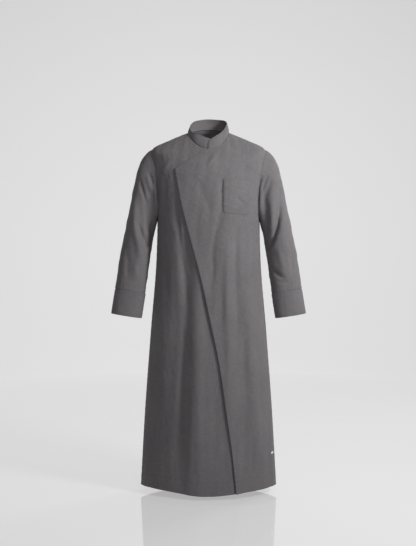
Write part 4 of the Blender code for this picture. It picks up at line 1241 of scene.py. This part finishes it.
left_front = panel(
    "left_front", "over", over_grid, places(112, CLOSE, (FLAP_END, NECK_END)),
    (HEM_EDGE, Seam("left", EDGE_TURN), Seam("right"), Seam("top", 0.0, FLAP_END, NECK_END, 0.4),
     Seam("top", 0.0, NECK_END)), 11)
right_front = panel(
    "right_front", "under", under_grid, places(112, CLOSE, (UNDER_SPLIT,)),
    (HEM_EDGE, Seam("right", EDGE_TURN), Seam("left"), Seam("top")), 23)
back = panel(
    "back", "back", back_grid, places(124, BACK_CLOSE, (BACK_SPLIT, 1.0 - BACK_SPLIT)),
    (HEM_EDGE, Seam("left"), Seam("right"), Seam("top")), 37)
left_sleeve = sleeve(1, "left", 51)
right_sleeve = sleeve(-1, "right", 67)
left_cuff, left_cuff_lines = cuff(1, "left", 81)
right_cuff, right_cuff_lines = cuff(-1, "right", 93)
standing_collar, collar_lines = collar(101)
pocket, pocket_lines = breast_pocket(113)
tag = side_tag()
hem_over = sew("left_front_hem_stitches", left_front, "bottom", HEM_TURN)
hem_under = sew("right_front_hem_stitches", right_front, "bottom", HEM_TURN)
hem_back = sew("back_hem_stitches", back, "bottom", HEM_TURN)
edge_over = sew("left_front_edge_stitches", left_front, "left", EDGE_TURN)


# Stage
def glowing_surface(name, roughness, shine, glow, fall, middle):
    """A pale surface that glows with painted light of its own: glow at the front and back of the room, less
    by fall a metre squared away from the middle, sideways and up, which paints a pool of light round the
    middle."""
    material, tree, shader = new_material(name)
    set_inputs(shader, {"Base Color": (0.22, 0.22, 0.22, 1.0), "Emission Color": (1.0, 1.0, 1.0, 1.0)})
    set_inputs(shader, {"Roughness": roughness, "Specular IOR Level": shine})
    place = split_axes(tree, tree.nodes.new("ShaderNodeTexCoord").outputs["Object"])
    depth = mapped(tree, place[1], GLOW_DEPTHS, glow, "SMOOTHSTEP")
    high = math_node(tree, "SUBTRACT", place[2], middle)
    reach = math_node(tree, "MULTIPLY", place[0], place[0])
    reach = math_node(tree, "MULTIPLY_ADD", high, high, reach)
    strength = math_node(tree, "MULTIPLY_ADD", reach, -fall, depth)
    tree.links.new(math_node(tree, "MAXIMUM", strength, 0.1), shader.inputs["Emission Strength"])
    return material


def turned_surface(name, run, material):
    """A profile of radius and height over the floor, turned once round the upright axis."""
    count = 96
    turn = np.linspace(0.0, 2.0 * math.pi, count, endpoint=False)
    vertices, faces = [], []
    for radius, height in run:
        vertices += [(radius * math.sin(a), radius * math.cos(a), FLOOR_Z + height) for a in turn]
    for k in range(len(run) - 1):
        for i in range(count):
            n = (i + 1) % count
            faces.append((k * count + i, k * count + n, (k + 1) * count + n, (k + 1) * count + i))
    made = mesh_piece(name, np.array(vertices), faces)
    made.data.materials.append(material)


def room():
    """A pale polished floor that sweeps up all round into a matt wall and ceiling. Both glow with painted
    light: the floor's glow fills in the shade under the robe, and the wall's is a painted pool of light, dim
    at the front and brightest behind the robe.
    """
    bend = ROOM_RADIUS - FLOOR_RADIUS
    turns = np.radians(np.arange(0, 91, 5))
    low = [(FLOOR_RADIUS + bend * math.sin(a), bend - bend * math.cos(a)) for a in turns]
    high = [(radius, ROOM_HEIGHT - height) for radius, height in reversed(low)]
    # painted light: the floor and wall glow by themselves and light the robe, rather than being lit by the
    # lamps
    floor = glowing_surface("painted_glow_floor", 0.05, 0.5, (0.43, 0.30), 0.0, 0.0)
    wall = glowing_surface("painted_glow_wall", 0.9, 0.0, (0.10, 0.655), 0.011, -0.2)
    turned_surface("floor", [(0.001, 0.0), (FLOOR_RADIUS, 0.0)], floor)
    turned_surface("wall", low + high + [(0.001, ROOM_HEIGHT)], wall)


def soft_light(name, place, target, size, watts):
    data = bpy.data.lights.new(name, "AREA")
    data.shape = "RECTANGLE"
    data.size, data.size_y = size
    data.energy = watts
    lamp = bpy.data.objects.new(name, data)
    lamp.location = place
    lamp.rotation_euler = (Vector(target) - Vector(place)).to_track_quat("-Z", "Y").to_euler()
    lamp.visible_camera = False
    lamp.visible_glossy = False
    bpy.context.scene.collection.objects.link(lamp)


room()
soft_light("key", (1.42, -1.12, 0.42), (0.0, 0.0, -0.2), (0.4, 0.4), 48.0)
soft_light("front", (0.3, -2.9, 0.35), (0.0, 0.0, -0.3), (1.0, 1.0), 7.0)
soft_light("collar_light", (-0.05, -1.2, 0.24), (0.0, 0.05, 0.02), (0.15, 0.10), 1.5)
soft_light("back_light", (1.9, 2.0, 0.9), (0.0, 0.0, -0.3), (0.8, 0.8), 34.0)

world = bpy.data.worlds.new("studio")
bpy.context.scene.world = world
world.use_nodes = True
set_inputs(world.node_tree.nodes["Background"], {"Color": (1.0, 1.0, 1.0, 1.0), "Strength": 0.10})

lens = bpy.data.cameras.new("camera")
lens.sensor_fit = "VERTICAL"
lens.sensor_height = 36.0
lens.lens = 55.7
camera = bpy.data.objects.new("camera", lens)
camera.location = (-0.00195, -3.3, 0.823 - ORIGIN_HEIGHT)
camera.rotation_euler = (math.radians(90.0), 0.0, 0.0)
bpy.context.scene.collection.objects.link(camera)
bpy.context.scene.camera = camera
bpy.context.scene.view_settings.view_transform = "Standard"

# The kind of row for a flat cut of what shows: its area where it isn't a rectangle, what it hangs on and the
# pieces that go with it; no cuts are listed here
Cut = namedtuple("Cut", "cloth width length area rests_on with_pieces")

bpy.context.view_layer.update()
